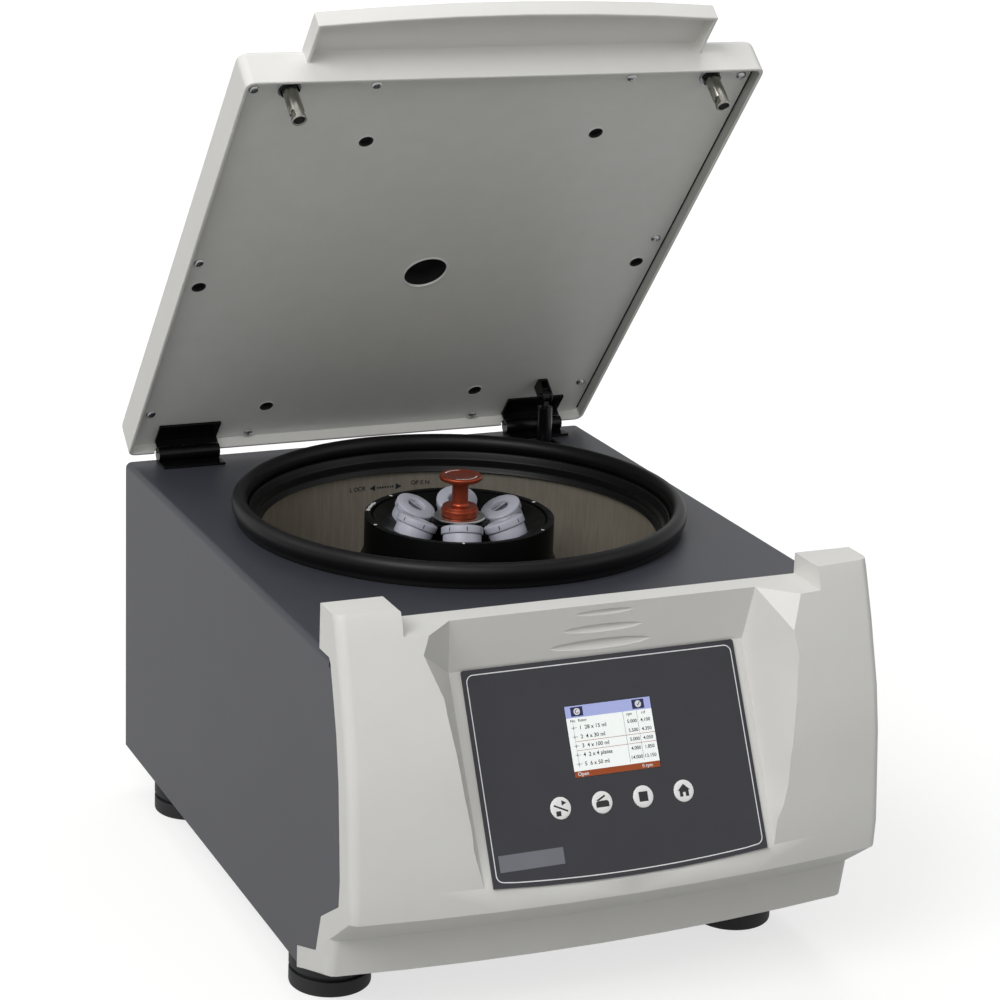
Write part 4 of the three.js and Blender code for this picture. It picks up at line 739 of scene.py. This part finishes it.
moulded("ink", "17171a", "1f1f22", 0.5, 1.0, 0.01)
FLANGE_FROM, FLANGE_HALF, RIB = 16.8, 2.6, 0.45
RECESS_RADIUS, RECESS_LOW, RECESS_HIGH = 7.1, -0.4, 2.6
STEP_ANGLE, STEPS_PER_NOTCH = 5, 4
cap_outline = [
    (0, -0.85), (14.15, -0.85), (14.15, -12.75), (15.2, -12.75), (15.5, -12.4), (15.5, -3.4),
    (15, -2.75), (16.6, -2.75), (17, -2.4), (17, 2.3), (16.4, 2.9), (14.6, 3.3), (13.8, 3.7),
    (8.4, 3.7), (7.7, 3.2), (7.2, -0.2), (4.6, -0.2), (4.3, 1.5), (2.7, 1.5), (2.4, -0.2),
    (0, -0.2),
]
first_cap = spin_outline("tube_cap", cap_outline, 360 // STEP_ANGLE)
for face in first_cap.data.polygons:
    x, y, z = face.center / MM
    on_flange = math.hypot(x, y) > FLANGE_FROM and abs(z) < FLANGE_HALF
    step = int(math.degrees(math.atan2(y, x)) % 360 / STEP_ANGLE)
    face.select = on_flange and step % STEPS_PER_NOTCH != 0
bpy.ops.object.mode_set(mode="EDIT")
bpy.ops.mesh.select_mode(type="FACE")
bpy.ops.mesh.extrude_region_shrink_fatten(TRANSFORM_OT_shrink_fatten={"value": RIB * MM})
bpy.ops.object.mode_set(mode="OBJECT")
grip = block("grip", (0, 0, 1.6), (15, 1.4, 3.4))
choose(first_cap, grip)
bpy.ops.object.join()
caps = []
for k in range(TUBES):
    cap = copy_of(first_cap, f"screw_cap_{k + 1}")
    home = ON_AXIS @ bore_home(k)
    finish_piece(cap, home, "cap_plastic", f"tube_{k + 1}", bevel=0.25, smooth=30)
    cap.data.materials.append(FINISHES["cap_recess_shade"])
    # Faces in the recess take the darker colour as painted shade.
    back = home.inverted()
    for face in cap.data.polygons:
        x, y, z = (back @ face.center) / MM
        in_recess = math.hypot(x, y) < RECESS_RADIUS and RECESS_LOW < z < RECESS_HIGH
        face.material_index = int(in_recess)
    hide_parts(f"tube_cap_{k + 1}")
    caps.append(cap)
drop(first_cap)
print(len(caps), "caps of", len(caps[0].data.polygons), "faces")

# %% [markdown]
# The clamping knob is turned from one bar: a collar, a slim stem with a fillet at each end and a
# flat disc on top. The steel washer under it spreads the load on the rotor's hub.

# %% Knob and washer
STEM_FILLET, FILLET_AT = 2.6, 9.4
knob_outline = [
    (0, -18.5), (3.4, -18.5), (4, -17.9), (4, 2.5), (15, 2.5), (15.5, 3), (15.5, 8.2),
    (15, 8.7), (14.4, 8.7), (14.4, 10.6), (14, 11), (FILLET_AT, 11),
]
knob_outline += arc(FILLET_AT, 13.6, STEM_FILLET, STEM_FILLET, -90, -180, 5)
knob_outline += [(6.8, 30.2)]
knob_outline += arc(FILLET_AT, 30.2, STEM_FILLET, STEM_FILLET, 180, 90, 5)
knob_outline += [
    (16.6, 33), (17.9, 34), (17.9, 36.5), (17.2, 37.3), (15.6, 37.5), (14.9, 37.1), (0, 37.1),
]
knob = spin_outline("clamp_knob", knob_outline, 96)
finish_piece(knob, ON_AXIS, "bronze_anodised", "knob", bevel=0.25)
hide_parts("rotor_knob")
washer_outline = [
    (9.3, -1.5), (20.4, -1.5), (21.8, 0), (22, 0.4), (22, 1.3), (21.2, 2.1), (19, 2.2),
    (18.6, 1.9), (18, 2.2), (9.3, 2.2), (9.3, -1.5),
]
washer = spin_outline("hub_washer", washer_outline, 96)
finish_piece(washer, ON_AXIS, "turned_steel", "rotor")
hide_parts("rotor_washer")
print("knob and washer:", len(knob.data.polygons), len(washer.data.polygons), "faces")

# %% [markdown]
# Each foot is a thick rubber disc in two layers with a groove between them. Spinning it finely
# replaces the coarse solid, and all four are copies of the first.

# %% Feet
FOOT_X, FOOT_FRONT, FOOT_REAR = 177.6, 77, 437
foot_outline = [(0, 1.2), (8, 1.2), (9, 0), (30, 0)] + arc(30.5, 2, 2, 2, -90, 0, 3)
foot_outline += [
    (32.5, 12.4), (31.9, 13), (29.5, 13), (29.5, 16), (31.9, 16), (32.5, 16.6), (32.5, 27),
]
foot_outline += arc(30.5, 27, 2, 2, 0, 90, 3)
foot_outline += [(20.6, 29), (20, 29.6), (20, 40.2), (0, 40.2)]
first_foot = spin_outline("foot", foot_outline, 72)
for row, y in (("front", FOOT_FRONT), ("rear", FOOT_REAR)):
    for side, x in (("left", -FOOT_X), ("right", FOOT_X)):
        foot = copy_of(first_foot, f"rubber_foot_{row}_{side}")
        finish_piece(foot, Matrix.Translation(place(x, y, 0)), "rubber", "housing")
        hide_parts(f"foot_{row}_{side}")
drop(first_foot)
print("four feet")

# %% [markdown]
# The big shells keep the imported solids' forms, but a moulding or a folded sheet has no knife-sharp
# edges. Each is copied, its loose triangles are merged and its flat faces joined, and then
# its edges are rounded with a bevel that is as wide as the real edge. The lid's inner side walls
# lie in the shadow of its rim, so they take a second, darker finish.

# %% Rounded shells
INNER_WALL = 217


def soften(node, finish, body, bevel, segments=3):
    """Copies a solid, joins its triangles, rounds its edges and stands in for the solid.

    The large faces keep their own direction in the shading, so only the roundings look round.
    """
    piece = copy_of(nodes[node], f"soft_{node}")
    bpy.ops.object.parent_clear(type="CLEAR_KEEP_TRANSFORM")
    piece.hide_render = False
    bpy.ops.object.mode_set(mode="EDIT")
    bpy.ops.mesh.select_all(action="SELECT")
    bpy.ops.mesh.remove_doubles(threshold=1e-6)
    bpy.ops.mesh.dissolve_limited(angle_limit=math.radians(0.4))
    bpy.ops.object.mode_set(mode="OBJECT")
    finish_piece(piece, Matrix.Identity(4), finish, body, bevel, segments, smooth=40)
    modify(piece, "WEIGHTED_NORMAL", keep_sharp=True)
    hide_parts(node)
    print(piece.name, len(piece.data.polygons), "faces")
    return piece


soften("front_bezel", "pale_moulding", "housing", 2.2, segments=4)
lid_shell = soften("lid_shell", "pale_moulding", "lid", 1.8)
lid_shell.data.materials.append(FINISHES["painted_shade_moulding"])
# The inner side walls take the darker copy as painted shade.
for face in lid_shell.data.polygons:
    x = face.center.x / MM
    if abs(abs(x) - INNER_WALL) < 0.6 and x * face.normal.x < -0.9 * INNER_WALL:
        face.material_index = 1
soften("housing_cover", "anthracite_coat", "housing", 0.5, segments=2)
for side in ("left", "right"):
    soften(f"hinge_leaf_{side}", "black_gloss", "housing", 0.9)
    soften(f"lid_leaf_{side}", "black_gloss", "lid", 0.9)
soften("strut_bracket", "black_gloss", "lid", 0.4)
soften("strut_foot", "zinc_plate", "housing", 0.4)
soften("strut_cylinder", "black_gloss", "strut_cylinder", 0.4)
soften("strut_rod", "plain_steel", "strut_rod", 0.3)
soften("mains_inlet", "black_plastic", "housing", 0.4)
soften("mains_rocker", "black_plastic", "rocker", 0.4)

# %% [markdown]
# Ten pan-head screws hold the liner. One is made: the head is spun, and its cross is cut with
# two bars. Each copy gets a slightly different turn, as a fitter leaves them.

# %% Screws of the liner
LINER, LINER_REAR = 13.5, 4.7


def on_liner(x, u):
    """A home on the liner's underside, u millimetres from the lid's rear, facing down."""
    return ON_LID @ move(x, LINER_REAR - u, LINER) @ turn(180, "X")


def dress(piece, home, finish, body):
    """Finishes a piece that stands for no solid."""
    finish_piece(piece, home, finish, body)


def dress_copies(first, homes, finish, body):
    """Puts numbered copies of a piece at their homes and throws the first away."""
    for k, home in enumerate(homes):
        dress(copy_of(first, f"{first.name}_{k + 1}"), home, finish, body)
    drop(first)


head_outline = [
    (0, -0.6), (2.2, -0.6), (2.2, 0), (4.1, 0), (4.2, 0.8), (3.7, 1.6), (2.6, 2.1), (0, 2.3),
]
first_screw = spin_outline("liner_screw", head_outline, 32)
CROSS = (0, 0, 2.2), (3.8, 0.75, 2)
for angle in (0, 90):
    cut_with(first_screw, settle(block("bar", *CROSS), turn(angle)))
SCREWS = [
    (-208, 474), (208, 474), (-109, 475), (109, 475), (-207, 262), (207, 262),
    (-206, 49), (206, 49), (-108.5, 8), (108.5, 8),
]
homes = [on_liner(*SCREWS[k]) @ Matrix.Rotation(0.7 * k, 4, "Z") for k in range(len(SCREWS))]
dress_copies(first_screw, homes, "plain_steel", "lid")
print(len(SCREWS), "screws")

# %% [markdown]
# The six holes of the liner and the port in its middle were pressed, so their rims stand out a
# little. A black ring in each hole is painted shade at the hole's edge, and black strips down both
# sides of the liner are painted shade in the gaps there. One helper spins all the rings.

# %% Pressed rims of the liner, with painted shade in its holes and gaps
PORT_AT = 231
HOLES = [(-100, 407), (100, 407), (-200, 228.5), (200, 228.5), (-100, 47.5), (100, 47.5)]


def ring(name, inner, outer, height, steps):
    """A pressed rim with a short neck that reaches back into the liner."""
    middle, neck = (inner + outer) / 2, inner + 0.6
    outline = [(inner, -1.4), (inner, height * 0.6), (inner + 0.3, height), (middle, height)]
    outline += [(outer, 0.02), (outer, -0.2), (neck, -0.2), (neck, -1.4), (inner, -1.4)]
    return spin_outline(name, outline, steps)


# Dull black is painted shade: it lines the holes' edges, the gaps beside the liner, the cups behind
# the holes and the pins' hollow tips.
moulded("foam", "0a0a0b", "121213", 0.85, 1.1, 0.12)
first_rim = ring("hole_rim", 6.1, 7.4, 0.4, 48)
first_shade_ring = ring("hole_lining", 4.9, 6.2, 0.3, 48)
for k, (x, u) in enumerate(HOLES):
    home = on_liner(x, u)
    rim = copy_of(first_rim, f"hole_rim_{k + 1}")
    dress(rim, home, "liner_paint", "lid")
    dress(copy_of(first_shade_ring, f"hole_lining_{k + 1}"), home, "foam", "lid")
drop(first_rim, first_shade_ring)
for side, x in (("left", -216.2), ("right", 216.2)):
    gap_shade = block(f"liner_gap_{side}", (0, 0, 0.1), (1.1, 478, 0.8))
    dress(gap_shade, on_liner(x, 246), "foam", "lid")
port = ring("port_rim", 18.7, 20.6, 0.6, 96)
dress(port, on_liner(0, PORT_AT), "liner_paint", "lid")
print(len(HOLES) + 1, "rims")

# %% [markdown]
# Behind each hole of the liner sits a black cup, which is painted shade for the dark inside of the
# lid and makes the holes look dark. The cups of the small holes are shallow; the one of the middle
# port is deep enough for the knob.

# %% Black cups of painted shade behind the holes
def cup(name, inner, outer, depth):
    """A cup whose open side lies against the liner, with its floor further inside the lid."""
    outline = [(inner, -1.5), (outer, -1.5), (outer, -depth), (0, -depth)]
    outline += [(0, 1.2 - depth), (inner, 1.2 - depth), (inner, -1.5)]
    return spin_outline(name, outline, 48)


homes = [on_liner(x, u) for x, u in HOLES]
dress_copies(cup("foam_cup", 5.6, 7, 6), homes, "foam", "lid")
port_shade_cup = cup("foam_cup_port", 20.6, 22.4, 19)
dress(port_shade_cup, on_liner(0, PORT_AT), "foam", "lid")
print(len(HOLES) + 1, "cups")

# %% [markdown]
# A locking pin hangs under each front corner of the lid, on a washer and a black nut. It is a
# turned steel pin with a hollow tip. A slot is milled along each side of it, and a wider notch
# across each side gives the bolt its hold.

# %% Locking pins
grained("pin_steel", "8d8c85", "afaea6", 0.3, 0.9, depth=0.01)
SLOT, NOTCH = ((6.9, 0, 19.5), (4.2, 3, 13)), ((6.3, 0, 27.5), (5.4, 14, 5.4))
pin_outline = [
    (0, -0.3), (6, -0.3), (6, 32.4), (5.5, 33), (4.9, 33), (4.5, 32.6), (4.5, 31), (0, 31),
]
washer_outline = [
    (6.2, -0.1), (9.4, -0.1), (9.6, 0.2), (9.6, 0.8), (9.2, 1.1), (6.2, 1.1), (6.2, -0.1),
]
nut_outline = [(6.1, 1.1), (8.3, 1.1), (8.3, 3.4), (6.1, 3.4), (6.1, 1.1)]
# A black disc in the hollow tip is painted shade, so that the bore's steel floor looks dark.
bore_shade_outline = [(0, 30.8), (4.4, 30.8), (4.4, 31.3), (0, 31.3)]
first_pin = spin_outline("locking_pin", pin_outline, 48)
for (x, y, z), spans in (SLOT, NOTCH):
    for side in (-1, 1):
        cut_with(first_pin, block("bar", (side * x, y, z), spans))
pin_washer = spin_outline("pin_washer", washer_outline, 48)
pin_nut = spin_outline("pin_nut", nut_outline, 6)
pin_floor = spin_outline("pin_floor", bore_shade_outline, 32)
for side, x in (("left", -180), ("right", 180)):
    home = on_liner(x, 474) @ move(0, 0, 0.3)
    pin = copy_of(first_pin, f"locking_pin_{side}")
    finish_piece(pin, home, "pin_steel", "lid", bevel=0.2)
    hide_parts(f"latch_pin_{side}")
    dress(copy_of(pin_washer, f"pin_washer_{side}"), home, "zinc_plate", "lid")
    dress(copy_of(pin_nut, f"pin_nut_{side}"), home, "black_gloss", "lid")
    dress(copy_of(pin_floor, f"pin_floor_{side}"), home, "foam", "lid")
drop(first_pin, pin_washer, pin_nut, pin_floor)
print("two locking pins")

# %% [markdown]
# The rear panel is held by eight screws of the same kind as the liner's, and the motor's end cover
# by four socket screws. The first liner screw is taken back to the origin and serves again.

# %% Screws of the rear panel and the motor
REAR = 500
MOTOR_END, BOLT_CIRCLE = 168.7, 45
rear_screw = copy_of(bpy.data.objects["liner_screw_1"], "rear_screw")
rear_screw.data.transform(on_liner(*SCREWS[0]).inverted())
bpy.ops.object.parent_clear(type="CLEAR_KEEP_TRANSFORM")
homes = []
for x in (-209, -70, 70, 209):
    for z in (50, 296):
        on_rear = Matrix.Translation(place(x, REAR, z)) @ turn(-90, "X")
        homes.append(on_rear @ Matrix.Rotation(0.9 * len(homes), 4, "Z"))
dress_copies(rear_screw, homes, "plain_steel", "housing")
bolt_outline = [
    (0, -0.5), (4.4, -0.5), (4.6, -0.2), (4.6, 4.2), (4.2, 4.6), (2.4, 4.6), (2.4, 2), (0, 2),
]
first_bolt = spin_outline("motor_bolt", bolt_outline, 36)
spot = move(BOLT_CIRCLE, 0, MOTOR_END - TOP)
homes = [ON_AXIS @ turn(45 + 90 * k) @ spot for k in range(4)]
dress_copies(first_bolt, homes, "black_gloss", "housing")
print("eight rear screws and four motor bolts")

# %% [markdown]
# The foil's print lies in one layer of ink on its face. Here every printed form is a plate of a few
# hundredths of a millimetre, because thin plates stay sharp however near the camera comes.
# One helper draws any plate from its corner points, another writes letters and numbers.

# %% Helpers for printing
FOIL = 1.9


def plate(points, z, thickness=0.06):
    """Draws a closed outline of (x, y) points and gives it a little height."""
    piece = draw("plate", [(x, y, z) for x, y in points])
    bpy.ops.mesh.edge_face_add()
    bpy.ops.mesh.extrude_region_move(TRANSFORM_OT_translate={"value": (0, 0, thickness * MM)})
    turn_outwards(piece)
    return piece


def box_points(x0, y0, x1, y1):
    return [(x0, y0), (x1, y0), (x1, y1), (x0, y1)]


def field(x0, y0, x1, y1, z):
    return plate(box_points(x0, y0, x1, y1), z)


def word(text, x, y, size, z):
    """Letters or numbers whose first line starts at a point, as a thin closed mesh."""
    bpy.ops.object.select_all(action="DESELECT")
    bpy.ops.object.text_add(location=(x * MM, y * MM, z * MM))
    piece = bpy.context.object
    piece.data.body = text
    piece.data.size = size * MM
    piece.data.extrude = 0.03 * MM
    piece.data.offset = 0.015 * size * MM
    piece.data.resolution_u = 3
    bpy.ops.object.convert(target="MESH")
    bpy.ops.object.transform_apply(location=True, rotation=True, scale=True)
    turn_outwards(piece)
    return piece


def gather(name, pieces, home, finish, body):
    """Joins printed forms of one ink into one piece and puts it in its place."""
    choose(*pieces)
    if len(pieces) > 1:
        bpy.ops.object.join()
    piece = bpy.context.object
    piece.name = name
    dress(piece, home, finish, body)


def on_panel(name, pieces, finish):
    gather(name, pieces, ON_PANEL, finish, "housing")


print("helpers for printing are ready")

# %% [markdown]
# The frame line runs round the foil a few millimetres inside its edge, with round corners, and
# bows with the lower edge. It is a flat curve with a fine bevel, pressed almost flat.

# %% Frame line of the foil
moulded("white_ink", "e6e6e8", "eeeeef", 0.45, 1.0, 0.01)
moulded("grey_label", "6d6d75", "75757d", 0.45, 1.0, 0.01)
LEFT, RIGHT, UPPER, LOWER, CORNER = -110.2, 110.2, 1, -152.4, 5.5
BOW, BOW_POINTS = 5, 24
LINE_WIDTH, FLATTENED = 0.42, 0.14


def rounded(x, y, start, end):
    return arc(x, y, CORNER, CORNER, start, end, 8)


line_points = rounded(RIGHT - CORNER, UPPER - CORNER, 0, 90)
line_points += rounded(LEFT + CORNER, UPPER - CORNER, 90, 180)
line_points += rounded(LEFT + CORNER, LOWER + CORNER, 180, 262)
for k in range(1, BOW_POINTS):
    x = LEFT + CORNER + (RIGHT - LEFT - 2 * CORNER) * k / BOW_POINTS
    line_points.append((x, LOWER - BOW * (1 - (x / RIGHT) ** 2)))
line_points += rounded(RIGHT - CORNER, LOWER + CORNER, 278, 360)
bpy.ops.object.select_all(action="DESELECT")
bpy.ops.curve.primitive_nurbs_path_add()
frame_line = bpy.context.object
frame_line.data.splines.clear()
path_line = frame_line.data.splines.new("POLY")
path_line.points.add(len(line_points) - 1)
for point, (x, y) in zip(path_line.points, line_points):
    point.co = (x * MM, y * MM, 0, 1)
path_line.use_cyclic_u = True
frame_line.data.bevel_depth = LINE_WIDTH * MM
frame_line.data.bevel_resolution = 1
bpy.ops.object.convert(target="MESH")
frame_line.scale = (1, 1, FLATTENED)
frame_line.location.z = FOIL * MM
bpy.ops.object.transform_apply(location=True, rotation=True, scale=True)
on_panel("foil_frame_line", [frame_line], "white_ink")
label = field(-106.5, -145.3, -54.3, -133, FOIL)
on_panel("foil_label", [label], "grey_label")
print("frame line and bare label")

# %% [markdown]
# The display shows a list: a header with two buttons, five rows with a tree at the left and two
# columns of numbers at the right, and a status bar. Each colour is one piece. The screen lights
# itself a little, so its finishes have a weak emission, made by the first helper.

# %% Colours of the display
def lit(name, code, glow):
    screen = Finish(name)
    dots = screen.noise(screen.spots(), 6.0, detail=1)
    colour = shade(code)
    dim = tuple(0.94 * part for part in colour)
    screen.close(
        base_color=screen.between(dots, dim, colour),
        roughness=0.22,
        emission_color=screen.between(dots, dim, colour),
        emission_strength=glow,
    )


lit("screen_paper", "eef2f0", 0.27)
lit("screen_header", "a2aada", 0.25)
lit("screen_status", "94400f", 0.2)
lit("screen_button", "1c2350", 0.1)
lit("screen_lines", "8e989e", 0.08)
lit("screen_text", "1d2227", 0.02)
lit("screen_row", "a85a3a", 0.05)
print("colours of the display")

# %% [markdown]
# The fields of the display lie in one plane, and what is printed on them lies a few hundredths of
# a millimetre higher, so that no two faces share a plane. All heights are measured from the
# window, and all places from the corners of the picture.

# %% Fields and signs of the display
SCREEN = 1.72
LINE, OVER_LINE, SIGN, MARK = SCREEN + 0.06, SCREEN + 0.08, SCREEN + 0.12, SCREEN + 0.2
X0, X1, Y0, Y1 = -35.5, 35.5, -84.2, -30.8
STATUS_TOP, HEADER_LOW, HEADER_MIDDLE = Y0 + 4.6, Y1 - 9, Y1 - 4.5
BUTTONS, BUTTON = (-31, 20), 10
ROWS = 5
rows = [Y1 - 13.2 - 6.8 * k for k in range(ROWS + 1)]
for name, lower, upper in (
    ("screen_paper", STATUS_TOP, HEADER_LOW),
    ("screen_header", HEADER_LOW, Y1),
    ("screen_status", Y0, STATUS_TOP),
):
    on_panel(name, [field(X0, lower, X1, upper, SCREEN)], name)
buttons = [field(x, Y1 - 8, x + BUTTON, Y1 - 1, LINE) for x in BUTTONS]
on_panel("screen_buttons", buttons, "screen_button")
signs = [plate(arc(x + 5, HEADER_MIDDLE, 2.6, 2.6, 0, 360, 28)[:-1], SIGN) for x in BUTTONS]
signs.append(word("Open", X0 + 2.5, Y0 + 1.1, 4, OVER_LINE))
signs.append(word("0 rpm", X1 - 15, Y0 + 1.1, 3.6, OVER_LINE))
on_panel("screen_signs", signs, "white_ink")
outer, inner = (arc(-26, HEADER_MIDDLE, r, r, 60, 340, 12) for r in (1.6, 1.1))
tick = [
    (23.8, Y1 - 4.4), (24.8, Y1 - 5.8), (26.8, Y1 - 3.1), (26.3, Y1 - 2.8), (24.8, Y1 - 4.9),
    (24.2, Y1 - 4.1),
]
on_panel("screen_marks", [plate(outer + inner[::-1], MARK), plate(tick, MARK)], "screen_button")
lines = [field(x, rows[-1], x + 0.3, HEADER_LOW, LINE) for x in (11.2, 22.7)]
lines.append(field(X0 + 4.7, rows[-1] + 1, X0 + 4.95, rows[0], SCREEN + 0.04))
for top in rows[:ROWS]:
    y = top - 3.3
    lines.append(field(X0 + 3, y - 0.2, X0 + 7.5, y + 0.2, LINE))
    lines.append(field(X0 + 4.4, y - 1.1, X0 + 5.2, y + 1.1, LINE))
on_panel("screen_lines", lines, "screen_lines")
chosen = [field(X0 + 5, y - 0.16, X1, y + 0.16, OVER_LINE) for y in rows[2:4]]
on_panel("screen_row", chosen, "screen_row")
print("fields and signs of the display")

# %% [markdown]
# The list itself is written last. A row holds a load, a speed and a force; the last row's numbers
# have one more digit and start further left.

# %% List on the display
VALUES = [
    ("28 x 15 ml", "5.000", "4.100"), ("4 x 30 ml", "5.500", "4.350"),
    ("4 x 100 ml", "5.000", "4.050"), ("2 x 4 plates", "4.000", "1.850"),
    ("6 x 50 ml", "14.000", "13.150"),
]
texts = []
for k, (load, speed, force) in enumerate(VALUES):
    y = rows[k] - 4.8
    speed_x, force_x = (12.2, 23.6) if k == ROWS - 1 else (13.8, 25)
    texts += [(speed, speed_x, y, 3.7), (force, force_x, y, 3.7)]
    texts.append((f"{k + 1}  {load}", X0 + 9.5, y, 4.2))
heading = rows[0] + 1
texts += [("No.  Rotor", X0 + 3, heading, 3), ("rpm", 14, heading, 3), ("rcf", 26.5, heading, 3)]
on_panel("screen_numbers", [word(*text, OVER_LINE) for text in texts], "screen_text")
print(len(texts), "words and numbers")

# %% [markdown]
# The rotor, the knob, the caps and the bowl carry small printed marks, and five white spots on the
# rotor's rim are painted highlights of its screw heads. Each mark is a thin plate drawn flat, and a
# home that is turned round the axis puts it where it belongs: on the rotor's rim, on the knob's
# disc, round a cap's flange, or on the bowl's wall with its face inwards.

# %% Printed marks and painted highlights round the axis
RIM_RADIUS, RIM_HEIGHT = 77, 2
DISC_RADIUS, DISC_HEIGHT, DASH_PITCH = 13.6, 37.1, 7.5
BOWL_WALL, LETTER_SIZE, LETTER_PITCH = 170.2, 5.4, 1.45


def around(angle, radius, height, upright=False):
    """A home at an angle round the axis: lying flat, or upright on a wall and facing inwards."""
    home = turn(angle - 90) @ move(0, radius, height)
    return home @ turn(90, "X") if upright else home


def bar_at(home, half_x, half_y):
    """A small bar of ink, given by its half lengths, at a home."""
    return settle(field(-half_x, -half_y, half_x, half_y, 0), home)


def on_rim(angle):
    return around(angle, RIM_RADIUS, RIM_HEIGHT)


# The five white spots are painted highlights of the screw heads in the rim; the nine bars are
# printed.
rim_glints_and_marks = [bar_at(on_rim(angle), 0.9, 1.4) for angle in (117, 183, 12, -49, -110)]
rim_glints_and_marks += [bar_at(on_rim(136 + 2.1 * k), 0.8, 1.6 if k % 3 else 1) for k in range(9)]
gather("rotor_glints_and_marks", rim_glints_and_marks, ON_AXIS, "white_ink", "rotor")
knob_marks = []
for start, count in ((75, 9), (-125, 13)):
    for k in range(count):
        home = around(start + DASH_PITCH * k, DISC_RADIUS, DISC_HEIGHT)
        knob_marks.append(bar_at(home, 0.7, 0.5))
gather("knob_marks", knob_marks, ON_AXIS, "white_ink", "knob")
bowl_marks = []
for k in range(7):
    home = around(87.6 + 0.8 * k, BOWL_WALL + 0.1, -23, upright=True)
    bowl_marks.append(bar_at(home, 0.7, 0.9))
for angle, way in ((94.2, -1), (85.8, 1)):
    point = plate([(-2.6 * way, -2.8), (2.8 * way, 0), (-2.6 * way, 2.8)][::way], 0)
    bowl_marks.append(settle(point, around(angle, BOWL_WALL, -23, upright=True)))
for text, start, height in (("LOCK", 102, -24), ("OPEN", 82, -22.2)):
    for k, letter in enumerate(text):
        home = around(start - LETTER_PITCH * k, BOWL_WALL, height, upright=True)
        bowl_marks.append(settle(word(letter, 0, 0, LETTER_SIZE, 0), home))
gather("bowl_marks", bowl_marks, ON_AXIS, "ink", "housing")
outwards = turn(90) @ turn(90, "X")
for cap in range(TUBES):
    ticks = []
    for angle in (10, 60, 150, 205, 260, 320):
        home = turn(angle + 23 * cap) @ move(17.42, 0, 0)
        ticks.append(bar_at(home @ outwards, 0.4, 1.7))
    home = ON_AXIS @ bore_home(cap)
    gather(f"cap_ticks_{cap + 1}", ticks, home, "ink", f"tube_{cap + 1}")
print("marks on rotor, knob, bowl and caps")

# %% [markdown]
# The power switch has its two signs printed on the rocker: a one at the end that switches on, a
# zero at the other. They lie on the two slopes of the rocker and ride on it.

# %% Signs of the power switch
rocker_low, rocker_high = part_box("mains_rocker")
middle = (rocker_low[0] + rocker_high[0]) / 2
facing = turn(180) @ turn(90, "X")
switch_signs = []
for text, share, lean, sunk in (("0", 0.27, -6, 0.8), ("1", 0.73, 6, 0.25)):
    height = rocker_low[2] + share * (rocker_high[2] - rocker_low[2])
    spot = Matrix.Translation((middle, rocker_high[1] - sunk * MM, height))
    sign = word(text, -1.2, -1.6, 4.4, 0)
    switch_signs.append(settle(sign, spot @ turn(lean, "X") @ facing))
gather("switch_signs", switch_signs, Matrix.Identity(4), "white_ink", "rocker")
print("switch signs")

# %% [markdown]
# The four keys are round and slightly domed, each with a dark sign for its work: start and stop,
# lid, stop, and home. The signs ride on their keys.

# %% Keys and their signs
KEY_PITCH, KEY_ROW, KEY_FACE = 34.1, -104.7, 2.33
key_outline = [(0, 0.95), (7.9, 0.95), (8.3, 1.2), (8.3, 2), (7.9, 2.25), (5, KEY_FACE), (0, 2.35)]
first_key = spin_outline("key", key_outline, 48)
SIGNS = {
    "key_start": [
        [(1.2, 5.6), (1.0, 1.6), (5.0, 3.6)],
        [(-5.2, 3), (5.6, -2.2), (5.1, -3.4), (-5.7, 1.8)],
        box_points(-4.3, -5.8, -0.4, -2.1),
    ],
    "key_lid": [
        [(-5.3, -3.6), (5.3, -3.6), (5.3, 0), (4, 1.2), (-4, 1.2), (-5.3, -0.2)],
        [(-5, 1.7), (2.4, 5.4), (3, 4.2), (-2.6, 1.4)],
    ],
    "key_stop": [box_points(-3.7, -3.7, 3.7, 3.7)],
    "key_home": [[
        (-5.2, 0.4), (0, 5.2), (5.2, 0.4), (3.8, 0.4), (3.8, -4.2), (1.1, -4.2),
        (1.1, -1), (-1.1, -1), (-1.1, -4.2), (-3.8, -4.2), (-3.8, 0.4),
    ]],
}
for k, (name, forms) in enumerate(SIGNS.items()):
    home = ON_PANEL @ move(KEY_PITCH * (k - 1.5), KEY_ROW, 0)
    key = copy_of(first_key, f"round_{name}")
    finish_piece(key, home, "key_white", name, smooth=50)
    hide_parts(name)
    drawn = [plate(points, KEY_FACE, 0.07) for points in forms]
    gather(f"sign_{name}", drawn, home, "ink", name)
drop(first_key)
print("four keys")

# %% [markdown]
# The last cell says that the machine is dressed.


print("machine dressed")
